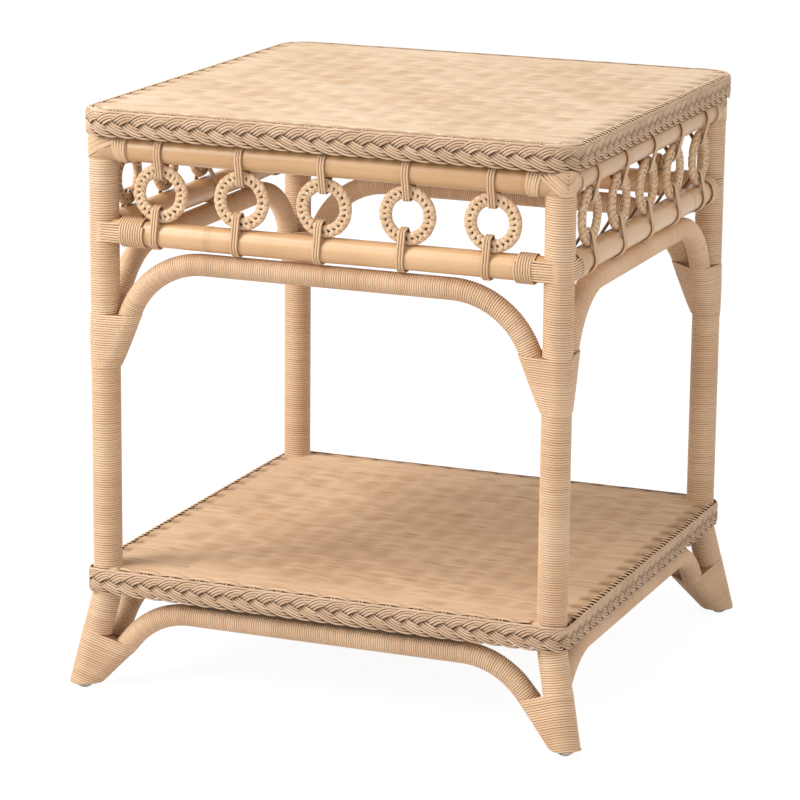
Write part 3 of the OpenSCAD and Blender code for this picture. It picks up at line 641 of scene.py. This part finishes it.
def crossings(seed):
    """Flat strands from the outer hoop to the inner one, wide on the hoops and narrow between them."""
    local = np.random.default_rng(seed)
    a = (np.arange(RING_TURNS) + 0.5) * 2 * pi / RING_TURNS
    a = np.concatenate([a, a])[:, None]
    face = np.repeat([1.0, -1.0], RING_TURNS)[:, None]
    u = np.linspace(-1, 1, 5)
    angle = a + 0.04 * u + local.normal(0, 0.012, len(a))[:, None]
    out = BETWEEN + 3.2 * u
    paths = xyz(out * np.cos(angle), face * (2.0 + 0.65 * u ** 2), out * np.sin(angle))
    return tubes(paths, xyz(0, face + 0 * angle, 0), 0.55, 1.8 + 0.55 * np.abs(u), around=STRAND,
                 tint=local.random(len(a)))


def shaded_band_between_hoops():
    """A thin band on the middle circle, which closes the gap between the two hoops, painted dark as the
    shade there.
    """
    a = np.arange(48) * 2 * pi / 48
    path = xyz(BETWEEN * np.cos(a), 0, BETWEEN * np.sin(a))[None]
    return tubes(path, [0, 1, 0], 1.5, 0.7, sides=4, closed=True, tint=[0.8], shade_and_marks=0.55)


# %% Five rings on each side
for quarter, side in enumerate(SIDES):
    row = []
    for i, x in enumerate(RING_X):
        seed = 100 * quarter + 10 * i
        ring = joined([hoop(OUTER_HOOP, seed, -1), hoop(INNER_HOOP, seed + 1, 1), crossings(seed + 2),
                       shaded_band_between_hoops()])
        ring["p"] = ring["p"] + [x, -RING_LINE, RING_Z]
        row.append(ring)
    make_piece("bound_rings_" + side, turned(joined(row), quarter), HOOPS, "cane_hoop", "rings_" + side)


# %% Ties of three strands that hang the rings between the rails
def tie_paths(rail_z, up, shift):
    """Three closed taut bands round the rail and the inner hoop, beside each other."""
    slope = np.arcsin((abs(shift) + 4) / INNER_HOOP)
    ends = np.array([[-RAIL_LINE, rail_z], [-RING_LINE, RING_Z + up * INNER_HOOP * cos(slope)]])
    a = np.arange(30) * 2 * pi / 30
    n = xyz(np.cos(a), np.sin(a))
    band = taut_band(n, ends, [RAIL_R + 1.25, HOOP_R / cos(slope) + 1.25])
    beside = np.array([-2.5, 0, 2.5])[:, None] + shift
    x = beside + 1.2 * np.sin(a)[None] * (1 if shift else 0.3)
    return xyz(x, band[:, 0], band[:, 1]), xyz(0 * x, n[:, 0], n[:, 1])


for quarter, side in enumerate(SIDES):
    row = []
    for x in RING_X:
        for rail_z, up, shift in ((UPPER_RAIL_Z, 1, 0.0), (LOWER_RAIL_Z, -1, -4.0)):
            paths, outward = tie_paths(rail_z, up, shift)
            row.append(tubes(paths + [x, 0, 0], outward, 1.05, 1.2, closed=True,
                             tint=0.2 + 0.5 * chance.random(3)))
    make_piece("ring_strands_" + side, turned(joined(row), quarter), PEEL, "peel", "ring_ties_" + side)

# %% [markdown]
# ## Bindings and knots
#
# A lower rail meets the leg under seven turns of reed, and a few strands run on from there round the
# leg. Each top corner is lashed: flat strands run aslant from one rail over the leg to the other.

# %% Bindings on the lower rails
BINDING_X = 199.8  # where a binding starts, beside the leg
BINDING_PITCH = 2.42
BINDING_CUTS = 18  # points in one turn
SADDLE_X = 196.0
SADDLE_STRANDS = 8


def binding(turns):
    """A helix round the rail: x falls by one pitch a turn, and the strand lies one radius off it."""
    t = np.arange(turns * BINDING_CUTS + 1)
    a = t * 2 * pi / BINDING_CUTS + 0.6
    x = BINDING_X - BINDING_PITCH * t / BINDING_CUTS
    r = RAIL_R + 1.15
    path = xyz(x, -RAIL_LINE - r * np.cos(a), LOWER_RAIL_Z + r * np.sin(a))[None]
    s = tubes(path, xyz(0, -np.cos(a), np.sin(a))[None], 1.12, 1.18, tint=[0.35])
    s["tint"] = s["tint"] + 0.12 * np.sin(s["p"][:, 0] * 2.6)
    return s


def saddle():
    """Strands that leave the leg's winding and run taut to the front of the rail, under the binding.

    Each lies at the rail's surface at first: y = line + sqrt(R^2 - dz^2). It then runs straight to the
    leg's front and sinks into the leg's winding there.
    """
    k = np.arange(SADDLE_STRANDS)[:, None]
    u = np.linspace(0, 1, 12)[None]
    z = LOWER_RAIL_Z + 8.2 - 2.3 * k
    x = SADDLE_X + 29.0 * u
    at_rail = RAIL_LINE + np.sqrt(np.clip((RAIL_R + 0.3) ** 2 - (z - LOWER_RAIL_Z) ** 2, 0, None))
    r = LEG_R - 0.4 - 1.6 * clamp((x - 217) / 6) ** 2
    at_leg = HALF + np.sqrt(r ** 2 - np.clip(x - HALF, 0, None) ** 2)
    y = at_rail + (at_leg - at_rail) * clamp((x - SADDLE_X) / 20)
    return tubes(xyz(x, -y, z), [0, -1, 0], 0.95, 1.1, around=STRAND,
                 tint=0.2 + 0.4 * chance.random(SADDLE_STRANDS))


for quarter, side in enumerate(SIDES):
    ends = []
    for sign in (1, -1):
        turns = 10 if (side, sign) == ("front", -1) else 7
        for s in (binding(turns), saddle()):
            ends.append(s if sign > 0 else mirrored(s, s["p"] * [-1, 1, 1]))
    make_piece("rail_lashings_" + side, turned(joined(ends), quarter), PEEL, "reed_winding",
               "rail_bindings_" + side)


# %% Corner knots: what lies under the strands
KNOT_R = 14.2
KNOT_TOP = 524.8
KNOT_BEND = 11.2  # half of a strand's way round the leg


def knot_sleeves():
    """The peel under the strands: a drum over the leg's end and a sleeve on each of two rail ends."""
    drum = xyz(HALF, HALF, np.linspace(KNOT_Z, KNOT_TOP, 9))[None]
    rail = xyz(np.linspace(191, HALF, 9), RAIL_LINE, UPPER_RAIL_Z)[None]
    one = joined([tubes(drum, [1, 0, 0], KNOT_R - 0.4, sides=32, tint=[0.8]),
                  tubes(rail, [0, 1, 0], RAIL_R + 0.5, sides=28, tint=[0.7]),
                  tubes(rail[..., [1, 0, 2]], [1, 0, 0], RAIL_R + 0.5, sides=28, tint=[0.7])])
    # the drum and both sleeves get painted shade, as they lie under the strands
    return dict(one, shade_and_marks=np.full(len(one["p"]), 0.3))


# %% The strands of a knot
def knot_band(heights, width, slant, seed, vee=False):
    """Flat strands over the corner from one rail to the other, over the end of the leg.

    With t the distance along the strand from the corner's middle, the strand runs straight on the
    front of a rail while |t| is over KNOT_BEND, and in between follows a quarter circle round the leg.
    Its height is h + slant * t, or h + slant * |t| in a V, and stays within the knot's own height.
    """
    local = np.random.default_rng(seed)
    t = np.linspace(-29, 29, 27)[None]
    h = np.array(heights, float)[:, None] + local.normal(0, 0.15, (len(heights), 1))
    turn = pi / 4 + np.clip(t / KNOT_BEND, -1, 1) * pi / 4
    past = np.clip(np.abs(t) - KNOT_BEND, 0, None)
    r = KNOT_R - 0.35
    z = np.clip(h + slant * (np.abs(t) if vee else t), KNOT_Z + 0.6, KNOT_TOP - 0.6)
    dz = np.clip(np.abs(z - UPPER_RAIL_Z), 0, RAIL_R + 0.6)
    on_rail = RAIL_LINE - HALF + np.sqrt((RAIL_R + 0.7) ** 2 - dz ** 2)
    share = clamp(past / 10)
    off = np.minimum(r + (on_rail - r) * share, r)
    x = HALF + np.where(t < 0, -past + r * np.sin(turn), off * np.sin(turn))
    y = HALF + np.where(t < 0, off * np.cos(turn), -past + r * np.cos(turn))
    side = xyz(np.sin(turn), np.cos(turn), (z - UPPER_RAIL_Z) / RAIL_R * share)
    tint = 0.25 + 0.6 * local.random(len(heights))
    return tubes(xyz(x, y, z), side, 0.5, width / 2, around=STRAND, tint=tint)


def knot_collar(seed):
    """Five loops of peel round a rail end beside the knot, each more aslant than the one before."""
    local = np.random.default_rng(seed)
    loops = 5
    a = np.arange(28) * 2 * pi / 28
    k = np.arange(loops)[:, None]
    r = RAIL_R + 0.95
    x = 193.4 + 2.5 * k + (0.5 + 0.55 * k) * np.sin(a)[None] + local.normal(0, 0.12, (loops, 1))
    paths = xyz(x, RAIL_LINE + r * np.cos(a), UPPER_RAIL_Z + r * np.sin(a))
    s = tubes(paths, xyz(0 * x, np.cos(a), np.sin(a)), 0.55, 1.35, around=STRAND, closed=True,
              tint=0.3 + 0.4 * local.random(loops))
    return joined([s, mirrored(s, s["p"][:, [1, 0, 2]])])


knots = []
for number, corner in enumerate(CORNERS):
    if corner == "front_right":
        bands = [knot_band(np.arange(500.0, 523.5, 3.9), 3.4, 0.8, number, vee=True)]
    else:
        bands = [knot_band(np.arange(507.5, 523.5, 5.0), 5.3, -0.5, number),
                 knot_band([505.8], 2.2, -0.62, 20 + number)]
    knots.append(at_corner(joined([knot_sleeves(), *bands, knot_collar(number)]), corner))
make_piece("corner_lashings", joined(knots), PEEL, "peel", "corner_knots")

# %% [markdown]
# ## The woven panels
#
# Fine reeds run from left to right over and under stakes, so the top has soft bumps in staggered
# rows, a ridge for every reed and short slits beside the stakes. The reeds roll over the edge and run
# down the sides. One grid covers it all: its lines are spaced by the distance along the surface, and
# in a corner the square grid is drawn in to a quarter circle.

# %% Sizes of the panels and of the weave
TOP = dict(centre=TOP_C, corner_r=23.3, top=HEIGHT, low=528.2)
LOW = dict(centre=SHELF_C, corner_r=12.3, top=SHELF_Z, low=96.7)
TOP_ENDS = 222.0  # how far the border reeds run to each side
LOW_ENDS = 203.0
STAKES = 26.0  # from one stake to the next
BORDER_ARCH = 27.0  # the span of one arch of the border reeds
REED_PITCH = 2.45
REED_ROWS = np.array([0.0, 0.22, 0.5, 0.78])
ROLL = 5.0  # the radius with which the reeds roll over the edge
TABLE = (2200, 24)  # chance values, by reed and stake; the front's reeds are numbered from 1000
FRONT = 1000


# %% The smooth surface of half a panel
def panel_grid(centre, corner_r, top, low, part):
    """Grid of half a panel: lines A along the reeds and B across them, four rows B to each reed.

    With q = how far a grid point lies past the corner centres, the distance over the edge is
    max(qx, qy) and the direction is q / |q|. The surface is flat up to corner_r - ROLL, goes round a
    quarter circle, reach + ROLL * sin and down ROLL * (1 - cos), and then falls straight to low.
    """
    flat_e = corner_r - ROLL
    arc_e = flat_e + ROLL * pi / 2
    end_e = arc_e + (top - ROLL - low)
    size = centre + end_e
    reeds = int(size / REED_PITCH)
    each = size / reeds
    b = np.append(((np.arange(reeds)[:, None] + REED_ROWS) * each).ravel(), size)
    fold = np.append(np.tile(REED_ROWS, reeds), 0.0)
    edge = centre + flat_e
    a = np.concatenate([np.linspace(0, edge, 66), edge + np.linspace(0, arc_e - flat_e, 7)[1:],
                        centre + arc_e + np.linspace(0, end_e - arc_e, 4)[1:]])
    a = np.concatenate([-a[::-1], a[1:]])
    if part < 0:
        b, fold = -b[::-1], fold[::-1]
    A, B = np.meshgrid(a, b, indexing="ij")
    qx, qy = np.clip(np.abs(A) - centre, 0, None), np.clip(np.abs(B) - centre, 0, None)
    over = np.maximum(qx, qy)
    length = np.maximum(np.hypot(qx, qy), 1e-9)
    nx, ny = np.sign(A) * qx / length, np.sign(B) * qy / length
    tip = np.clip((over - flat_e) / ROLL, 0, pi / 2)
    reach = np.minimum(over, flat_e) + ROLL * np.sin(tip)
    drop = ROLL * (1 - np.cos(tip)) + np.clip(over - arc_e, 0, None)
    base = xyz(np.sign(A) * np.minimum(np.abs(A), centre) + reach * nx,
               np.sign(B) * np.minimum(np.abs(B), centre) + reach * ny, top - drop)
    normal = xyz(nx * np.sin(tip), ny * np.sin(tip), np.cos(tip))
    return dict(A=A, B=B, fold=np.broadcast_to(fold, A.shape), past=over - flat_e, side=qx > qy,
                each=each, base=base, normal=normal)


# %% The relief and the tones of the weave
def weave(g, ends, part, seed, wave, slits):
    """Height, tint and painted shade of the weave at every point of a panel's grid g.

    A band of reeds runs in a wave, cos(pi A / STAKES), and the next band, STAKES on, in the opposite
    one. So height = ridge of each reed - wave * (1 - cos(pi A / STAKES) * swap) / 2, where swap is +1
    or -1. A slit is a bell curve along one gap between reeds, beside a stake that lifts them. The
    reeds bulge between the bands on the sides, where past, the way beyond the flat part, is over -13,
    and lie in a groove at front and back, up to ends, where the border reeds are laid on them. The
    colour adds painted light and shade: painted shade in the gaps, slits, dips and bulges and under the
    border reeds, and paler stake lines with darker bands between them.
    """
    local = np.random.default_rng(seed)
    A, B, fold, past, side, each = (g[key] for key in ("A", "B", "fold", "past", "side", "each"))
    ridge = 0.4 * (np.sqrt(clamp(1 - (2 * fold - 1) ** 2)) - 1)
    calm = clamp((197 - np.maximum(np.abs(A), np.abs(B))) / 12)
    along = A + np.interp(B, np.linspace(-260, 260, 40), local.uniform(-2.5, 2.5, 40))
    bands = np.cos(pi * B / STAKES)
    swap = bands / np.sqrt(bands ** 2 + 0.03)
    dip = (1 - np.cos(pi * along / STAKES) * swap) / 2 * calm
    first = FRONT if part < 0 else 0
    number = np.rint(np.abs(B) / each - 0.25).astype(int) + first
    line = np.rint(np.abs(B) / each).astype(int) + first
    tone = local.random(TABLE[0])
    stake = np.rint(along / STAKES)
    column = np.clip(stake + TABLE[1] // 2, 0, TABLE[1] - 1).astype(int)
    strong = clamp(local.random(TABLE) * 5 - 3.6)[line, column]
    opens = slits * strong * np.clip(0.35 + 0.8 * np.cos(pi * stake) * swap, 0.15, 1)
    long = 8.5 + 4.5 * local.random(TABLE)[line, column]
    off = 3.0 * local.normal(size=TABLE)[line, column]
    gap_row = clamp(1.12 - 3.2 * np.minimum(fold, 1 - fold))
    slit = np.exp(-((along - STAKES * stake - off) / long) ** 4) * gap_row * opens * (past < -3)
    roll_over = clamp((past + 11) / 9)
    bulge = side * clamp((past + 13) / 7) * (1 - np.abs(bands) ** 0.8)
    at_reeds = clamp((ends + 3 - np.abs(A)) / 4) * ~side
    groove = at_reeds * clamp((past + 4) / 2)
    height = ridge * (1 + 1.5 * roll_over * side) - wave * dip - 0.6 * slit - 1.3 * bulge - 2.1 * groove
    arch = np.abs(np.sin(pi * A / BORDER_ARCH)) ** 0.8
    # painted shade under the border reeds; on the sides the skin past the rolled edge, behind the braid,
    # is painted dark too
    shade_under_border_reeds = at_reeds * clamp((past + 2.7 + 1.3 * arch) / 0.8)
    border = np.where(side, 0.6 * clamp((past - 4.2) / 1.0), 0.85 * shade_under_border_reeds)
    # painted light and shade of the bumps: paler on each stake line and darker between, with a slow drift
    # of tone
    stake_shade_and_drift = 0.18 * np.cos(2 * pi * along / STAKES) * calm + 0.12 * np.sin(A / 41 + B / 63 + seed)
    streak = local.random((740, TABLE[1]))[number // 3, column] - 0.5
    # the dips get a little painted shade in the tint
    tint = clamp(0.4 * tone[number] + 0.25 + 0.15 * dip + stake_shade_and_drift + 0.55 * streak)
    # painted shade in the gaps between reeds, more on the ribs that roll over the sides, in the dips,
    # slits and bulges, and under the border reeds
    shade_and_marks = gap_row * (0.17 + 0.5 * roll_over * side) + 0.08 * dip + slit + border + 0.6 * bulge
    return height, tint, clamp(shade_and_marks)


# %% The woven skins
def woven_skin(panel, ends, part, seed, wave, slits):
    """Half of a woven panel: its grid raised by the weave, a wall 3.2 mm inwards and a fan to close it."""
    g = panel_grid(part=part, **panel)
    height, tint, shade_and_marks = weave(g, ends, part, seed, wave, slits)
    nu, nv = height.shape
    points = (g["base"] + height[..., None] * g["normal"]).reshape(-1, 3)
    rim = np.concatenate([np.arange(nu - 1) * nv, (nu - 1) * nv + np.arange(nv - 1),
                          np.arange(nu - 1, 0, -1) * nv + nv - 1, np.arange(nv - 1, 0, -1)])
    inner = points[rim] - 3.2 * g["normal"].reshape(-1, 3)[rim]
    hub = np.array([[0, part * panel["centre"] / 2, panel["top"] - 13.0]])
    n, m = len(points), len(rim)
    inside = n + np.arange(m)
    wall = xyz(rim, inside, np.roll(inside, -1), np.roll(rim, -1))
    # the inner wall and the fan that closes it get painted shade
    return sheet(np.concatenate([points, inner, hub]), np.concatenate([grid_faces(nu, nv), wall]),
                 fan(n + m, inside)[:, ::-1], np.concatenate([tint.ravel(), np.full(m + 1, 0.6)]),
                 np.concatenate([shade_and_marks.ravel(), np.full(m + 1, 0.8)]))


for kind, panel, ends, finish, seed, wave, slits in (("top", TOP, TOP_ENDS, WEAVE, 21, 1.8, 1.1),
                                                     ("shelf", LOW, LOW_ENDS, SHELF_REED_SHADED, 31, 1.9, 1.2)):
    for half, part in (("back", 1), ("front", -1)):
        skin = woven_skin(panel, ends, part, seed + part, wave, slits)
        make_piece(f"woven_{kind}_{half}", skin, finish, "woven_" + kind, kind + "_weave")

# %% [markdown]
# ## Braided edges
#
# The border is a plait of reed bundles. From a row of gaps in its middle, painted dark as shade, one
# set of bundles climbs to the right and folds over the top edge, and another falls to the right and
# folds under.
# Each strand is a short tube along a quarter wave, and slips behind the next bundle as it ends.

# %% A point on the rim of a panel
TOP_ROUND = 28.0  # the braid's corner radii
LOW_ROUND = 17.0


def rim_point(s, out, centre, corner_r):
    """x and y at distance s round a rounded square, moved out by out, and the outward direction.

    The square is four straights, each with a quarter circle after it.
    """
    side = 2 * centre
    arc = corner_r * pi / 2
    s = np.mod(s, 4 * (side + arc))
    quarter = np.floor(s / (side + arc)).astype(int)
    u = s - quarter * (side + arc)
    turn = np.clip((u - side) / corner_r, 0, pi / 2)
    x = -centre + np.minimum(u, side) + (corner_r + out) * np.sin(turn)
    y = -centre - (corner_r + out) * np.cos(turn)
    c = np.array([1, 0, -1, 0])[quarter]
    d = np.array([0, 1, 0, -1])[quarter]
    nx, ny = np.sin(turn), -np.cos(turn)
    return c * x - d * y, d * x + c * y, c * nx - d * ny, d * nx + c * ny


# %% The braid
BRAID_H = 24.0
BUNDLE_PITCH = 16.8
START = 3.0  # how far a strand reaches back under the other row
BRAID_ROWS = [
    dict(sign=1.0, ahead=6.8, gap=2.3, bend=17.0, less=1.4, runs=[35.0, 26.0, 20.0, 14.5]),
    dict(sign=-1.0, ahead=0.2, gap=2.0, bend=24.0, less=1.3, runs=[30.0, 23.0, 18.5, 14.5]),
]


def braid(centre, corner_r, top, seed):
    """Bundles of four strands: an upper row climbs to the right, a lower row falls to the right.

    With a the distance run and k the strand, height = first + rise * sin(min(a / bend, 1) * pi / 2).
    The rise of each next strand ends one strand lower. A strand sinks in at both ends, where it also
    gets painted shade: it comes out from under the other row, and goes in again under the first strand
    of the next bundle.
    """
    local = np.random.default_rng(seed)
    around = 4 * (2 * centre + corner_r * pi / 2)
    count = int(round(around / BUNDLE_PITCH))
    middle = top - BRAID_H / 2
    edge = BRAID_H / 2 - 1.1
    sheets = []
    for row in BRAID_ROWS:
        i, k = np.meshgrid(np.arange(count), np.arange(4), indexing="ij")
        i, k = i.ravel()[:, None], k.ravel()[:, None]
        jitter = local.normal(0, 0.3, (len(i), 1))
        run = np.array(row["runs"])[k]
        a = -START + (run + START) * np.linspace(0, 1, 13)
        first = 2.4 - 1.55 * k
        rise = edge - 2.2 * k - first
        up = first + rise * np.sin(np.minimum(a / (row["bend"] - row["less"] * k), 1) * pi / 2)
        into = clamp((a - run + 5.5) / 5.5)
        under = 1 - clamp((a + START) / 7.8)
        out = -1.15 - 2.5 * under ** 2 * (3 - 2 * under) - 2.6 * into ** 2 - 0.5 * (up / edge) ** 4
        s = around / count * i + row["ahead"] + row["gap"] * k + a + jitter
        x, y, nx, ny = rim_point(s, out, centre, corner_r)
        on_side = clamp((np.abs(nx) - 0.3) / 0.6)
        less_high = 1 - 0.14 * on_side * (row["sign"] > 0) * clamp(up / edge)
        z = middle + row["sign"] * (up * less_high + 0.25 * jitter)
        outward = xyz(nx, ny, 0.9 * row["sign"] * (up / edge) ** 2)
        # painted shade where a strand comes out from under the other row and where it goes under again
        shade_and_marks = clamp(1.6 * under) + 0.45 * into ** 2 - 0.15
        tint = clamp(0.5 + 0.25 * local.normal(size=len(i)) + 0.12 * (k[:, 0] == 3))
        sheets.append(tubes(xyz(x, y, z), outward, 1.1, 1.2, around=STRAND, tint=tint, shade_and_marks=shade_and_marks))
    # a dark band behind the strands: the painted shade that shows in the gaps between the bundles
    x, y, nx, ny = rim_point(np.linspace(0, around, 241)[:-1], -3.7, centre, corner_r)
    sheets.append(tubes(xyz(x, y, middle)[None], xyz(nx, ny, 0)[None], 0.5, edge - 2.4, sides=8,
                        closed=True, tint=[1.0], shade_and_marks=1.0))
    return joined(sheets)


make_piece("braid_of_top", braid(TOP_C, TOP_ROUND, 549.2, 41), BRAID, "braid", "top_braid")
make_piece("braid_of_shelf", braid(SHELF_C, LOW_ROUND, 117.7, 43), BRAID, "braid", "shelf_braid")

# %% [markdown]
# ## Borders
#
# Between weave and braid two more reeds are laid along front and back. They arch over the cut ends of
# the stakes. On the other two sides short strands stitch the rolled edge down to the braid.

# %% Border reeds that arch over the stake ends
def border_reeds(half_length, edge, top, seed, tones, shade):
    """Two reeds in arches: inwards and upwards by |sin(pi x / BORDER_ARCH)|, and the stake ends.

    tones gives the tint of the two reeds, and shade how dark they are before the arches come down.
    """
    local = np.random.default_rng(seed)
    x = np.linspace(-half_length, half_length, int(half_length * 2 / 2.7) + 1)
    k = np.arange(2)[:, None]
    arch = np.abs(np.sin(pi * x / BORDER_ARCH)) ** 0.7
    y = -(edge - 2.9 * k) + (1.6 - 0.4 * k) * arch
    # where the arches come down to the stakes, the reeds get more painted shade
    reeds = tubes(xyz(x, y, top - 2.4 + 0.1 * k + 1.25 * arch), [0, -0.5, 1], 1.03, 1.1, around=STRAND,
                  tint=tones, shade_and_marks=shade + 0.35 * (1 - arch))
    arches = int(half_length / BORDER_ARCH)
    place = (np.arange(-arches, arches) + 0.5) * BORDER_ARCH
    both = np.concatenate([place - 1.5, place + 1.5])[:, None]
    u = np.linspace(0, 1, 3)[None]
    stakes = xyz(both, -(edge + 2.2) + 2.2 * u, top - 2.2 + 0.8 * u)
    one = joined([reeds, tubes(stakes, [0, 0, 1], 0.85, tint=0.1 * local.random(len(both)))])
    return joined([one, turned(one, 2)])


# %% Stitches on the sides, and reeds round the corners of the top
def side_stitches(half_length, edge, top, seed):
    """Short strands that tie the rolled edge to the braid on the right and left, one each 7.6 mm."""
    local = np.random.default_rng(seed)
    count = int(half_length * 2 / 7.6)
    y = np.linspace(-half_length, half_length, count)[:, None] + local.normal(0, 0.3, (count, 1))
    in_from_edge = np.array([7.4, 4.6, 2.2, 1.05])
    below = np.array([1.0, 1.0, 1.7, 3.6])
    u = np.linspace(0, 1, 4)
    one = tubes(xyz(edge - in_from_edge, y + 2.6 * u, top - below), xyz(u, 0, 1.1 - u), 0.9, 1.05,
                around=STRAND, tint=0.3 * local.random(count))
    return joined([one, turned(one, 2)])


def corner_reeds():
    """Two reeds round each corner of the top, between weave and braid; their ends dip under."""
    side = 2 * TOP_C
    arc = TOP_ROUND * pi / 2
    u = np.linspace(-7, arc + 7, 22)[None]
    s = np.arange(4)[:, None] * (side + arc) + side + u
    dip = 2.2 * np.clip(np.abs(u - arc / 2) - arc / 2, 0, None) / 7
    sheets = []
    for out, below in ((-3.3, 1.7), (-5.3, 1.35)):
        x, y, nx, ny = rim_point(s, out, TOP_C, TOP_ROUND)
        sheets.append(tubes(xyz(x, y, HEIGHT - below - dip), xyz(0.3 * nx, 0.3 * ny, 1.0), 1.05, 1.15,
                            around=STRAND, tint=[0.5, 0.7, 0.4, 0.6]))
    return joined(sheets)


border = [border_reeds(TOP_ENDS, 232.6, HEIGHT, 51, [1.0, 0.8], 0.3),
          side_stitches(212.0, 239.5, HEIGHT, 52), corner_reeds()]
make_piece("border_of_top", joined(border), WEAVE, "woven_top")
border = [border_reeds(LOW_ENDS, 231.2, SHELF_Z, 53, [0.35, 0.15], 0.0),
          side_stitches(200.0, 238.0, SHELF_Z, 54)]
make_piece("border_of_shelf", joined(border), SHELF_REED_SHADED, "woven_shelf")

# %% [markdown]
# ## Floor, light and camera
#
# The photograph is a cut-out on white, lit softly from all round with a little more from the upper
# left. The floor and backdrop are white to the camera, and the floor still takes the table's shadow.
# The camera is the one that fits the table's corners: a long lens from the front right, a bit above.

# %% Floor
FLOOR = 6.0  # metres, from the middle to each side


def seen(tree):
    """1 for a ray from the camera, for a reflection and for a ray that came through, by maximum."""
    ray = node(tree, "ShaderNodeLightPath", {}).outputs
    value = ray["Is Camera Ray"]
    for kind in ("Is Glossy Ray", "Is Transmission Ray"):
        value = node(tree, "ShaderNodeMath", {0: value, 1: ray[kind]}, operation="MAXIMUM").outputs[0]
    return value


def white_floor():
    """To the camera, mostly its own white, plus a share of the light on it, which keeps the shadow."""
    material = bpy.data.materials.new("white_floor")
    material.use_nodes = True
    tree = material.node_tree
    tree.nodes.clear()
    pale, faint = (node(tree, "ShaderNodeBsdfDiffuse", {"Color": (g, g, g, 1)}) for g in (0.8, 0.16))
    glow = node(tree, "ShaderNodeEmission", {"Strength": 0.93})
    added = node(tree, "ShaderNodeAddShader", {0: faint.outputs[0], 1: glow.outputs[0]})
    mix = node(tree, "ShaderNodeMixShader", {0: seen(tree), 1: pale.outputs[0], 2: added.outputs[0]})
    node(tree, "ShaderNodeOutputMaterial", {"Surface": mix.outputs[0]})
    return material


floor_mesh = bpy.data.meshes.new("floor")
floor_mesh.from_pydata([(x * FLOOR, y * FLOOR, 0) for x, y in CORNERS.values()], [], [(0, 1, 2, 3)])
floor_mesh.materials.append(white_floor())
floor = bpy.data.objects.new("floor", floor_mesh)
bpy.context.collection.objects.link(floor)

# %% World and lamps
world = bpy.data.worlds.new("white_room")
bpy.context.scene.world = world
world.use_nodes = True
tree = world.node_tree
strength = node(tree, "ShaderNodeMapRange", {"Value": seen(tree), "To Min": 0.45, "To Max": 1.0})
feed(tree, tree.nodes["Background"], {"Color": (1, 1, 1, 1), "Strength": strength.outputs["Result"]})


def lamp(name, place, target, size, watts):
    """A square white area lamp at place that faces target."""
    data = bpy.data.lights.new(name, "AREA")
    data.size = size
    data.energy = watts
    made = bpy.data.objects.new(name, data)
    made.location = place
    made.rotation_euler = (Vector(target) - Vector(place)).to_track_quat("-Z", "Y").to_euler()
    bpy.context.collection.objects.link(made)


lamp("key", (-2.0, -2.3, 1.9), (0, 0, 0.25), 1.5, 70)
lamp("fill", (2.7, -1.0, 1.4), (0, 0, 0.3), 2.0, 25)
lamp("high", (-1.45, -0.9, 2.6), (0, 0, 0.3), 0.9, 36)
bpy.context.scene.view_settings.view_transform = "Standard"
print("lamps:", len(bpy.data.lights))

# %% Camera
PICTURE = 800  # pixels
FOCAL = 3539.03  # the fitted focal length, in the same pixels
SENSOR = 36.0
CAMERA_PLACE = (1.2136, -3.0603, 1.0694)
AZIMUTH, ELEVATION, ROLL = radians(21.896), radians(14.007), radians(0.578)
camera_data = bpy.data.cameras.new("camera")
camera_data.sensor_width = SENSOR
camera_data.lens = FOCAL / PICTURE * SENSOR
camera_data.clip_end = 50.0
camera = bpy.data.objects.new("camera", camera_data)
aim = Matrix.Rotation(AZIMUTH, 4, "Z") @ Matrix.Rotation(pi / 2 - ELEVATION, 4, "X")
camera.matrix_world = Matrix.Translation(CAMERA_PLACE) @ aim @ Matrix.Rotation(ROLL, 4, "Z")
bpy.context.collection.objects.link(camera)
bpy.context.scene.camera = camera
print("camera", [round(v, 3) for v in camera.location], "lens", round(camera_data.lens, 1))
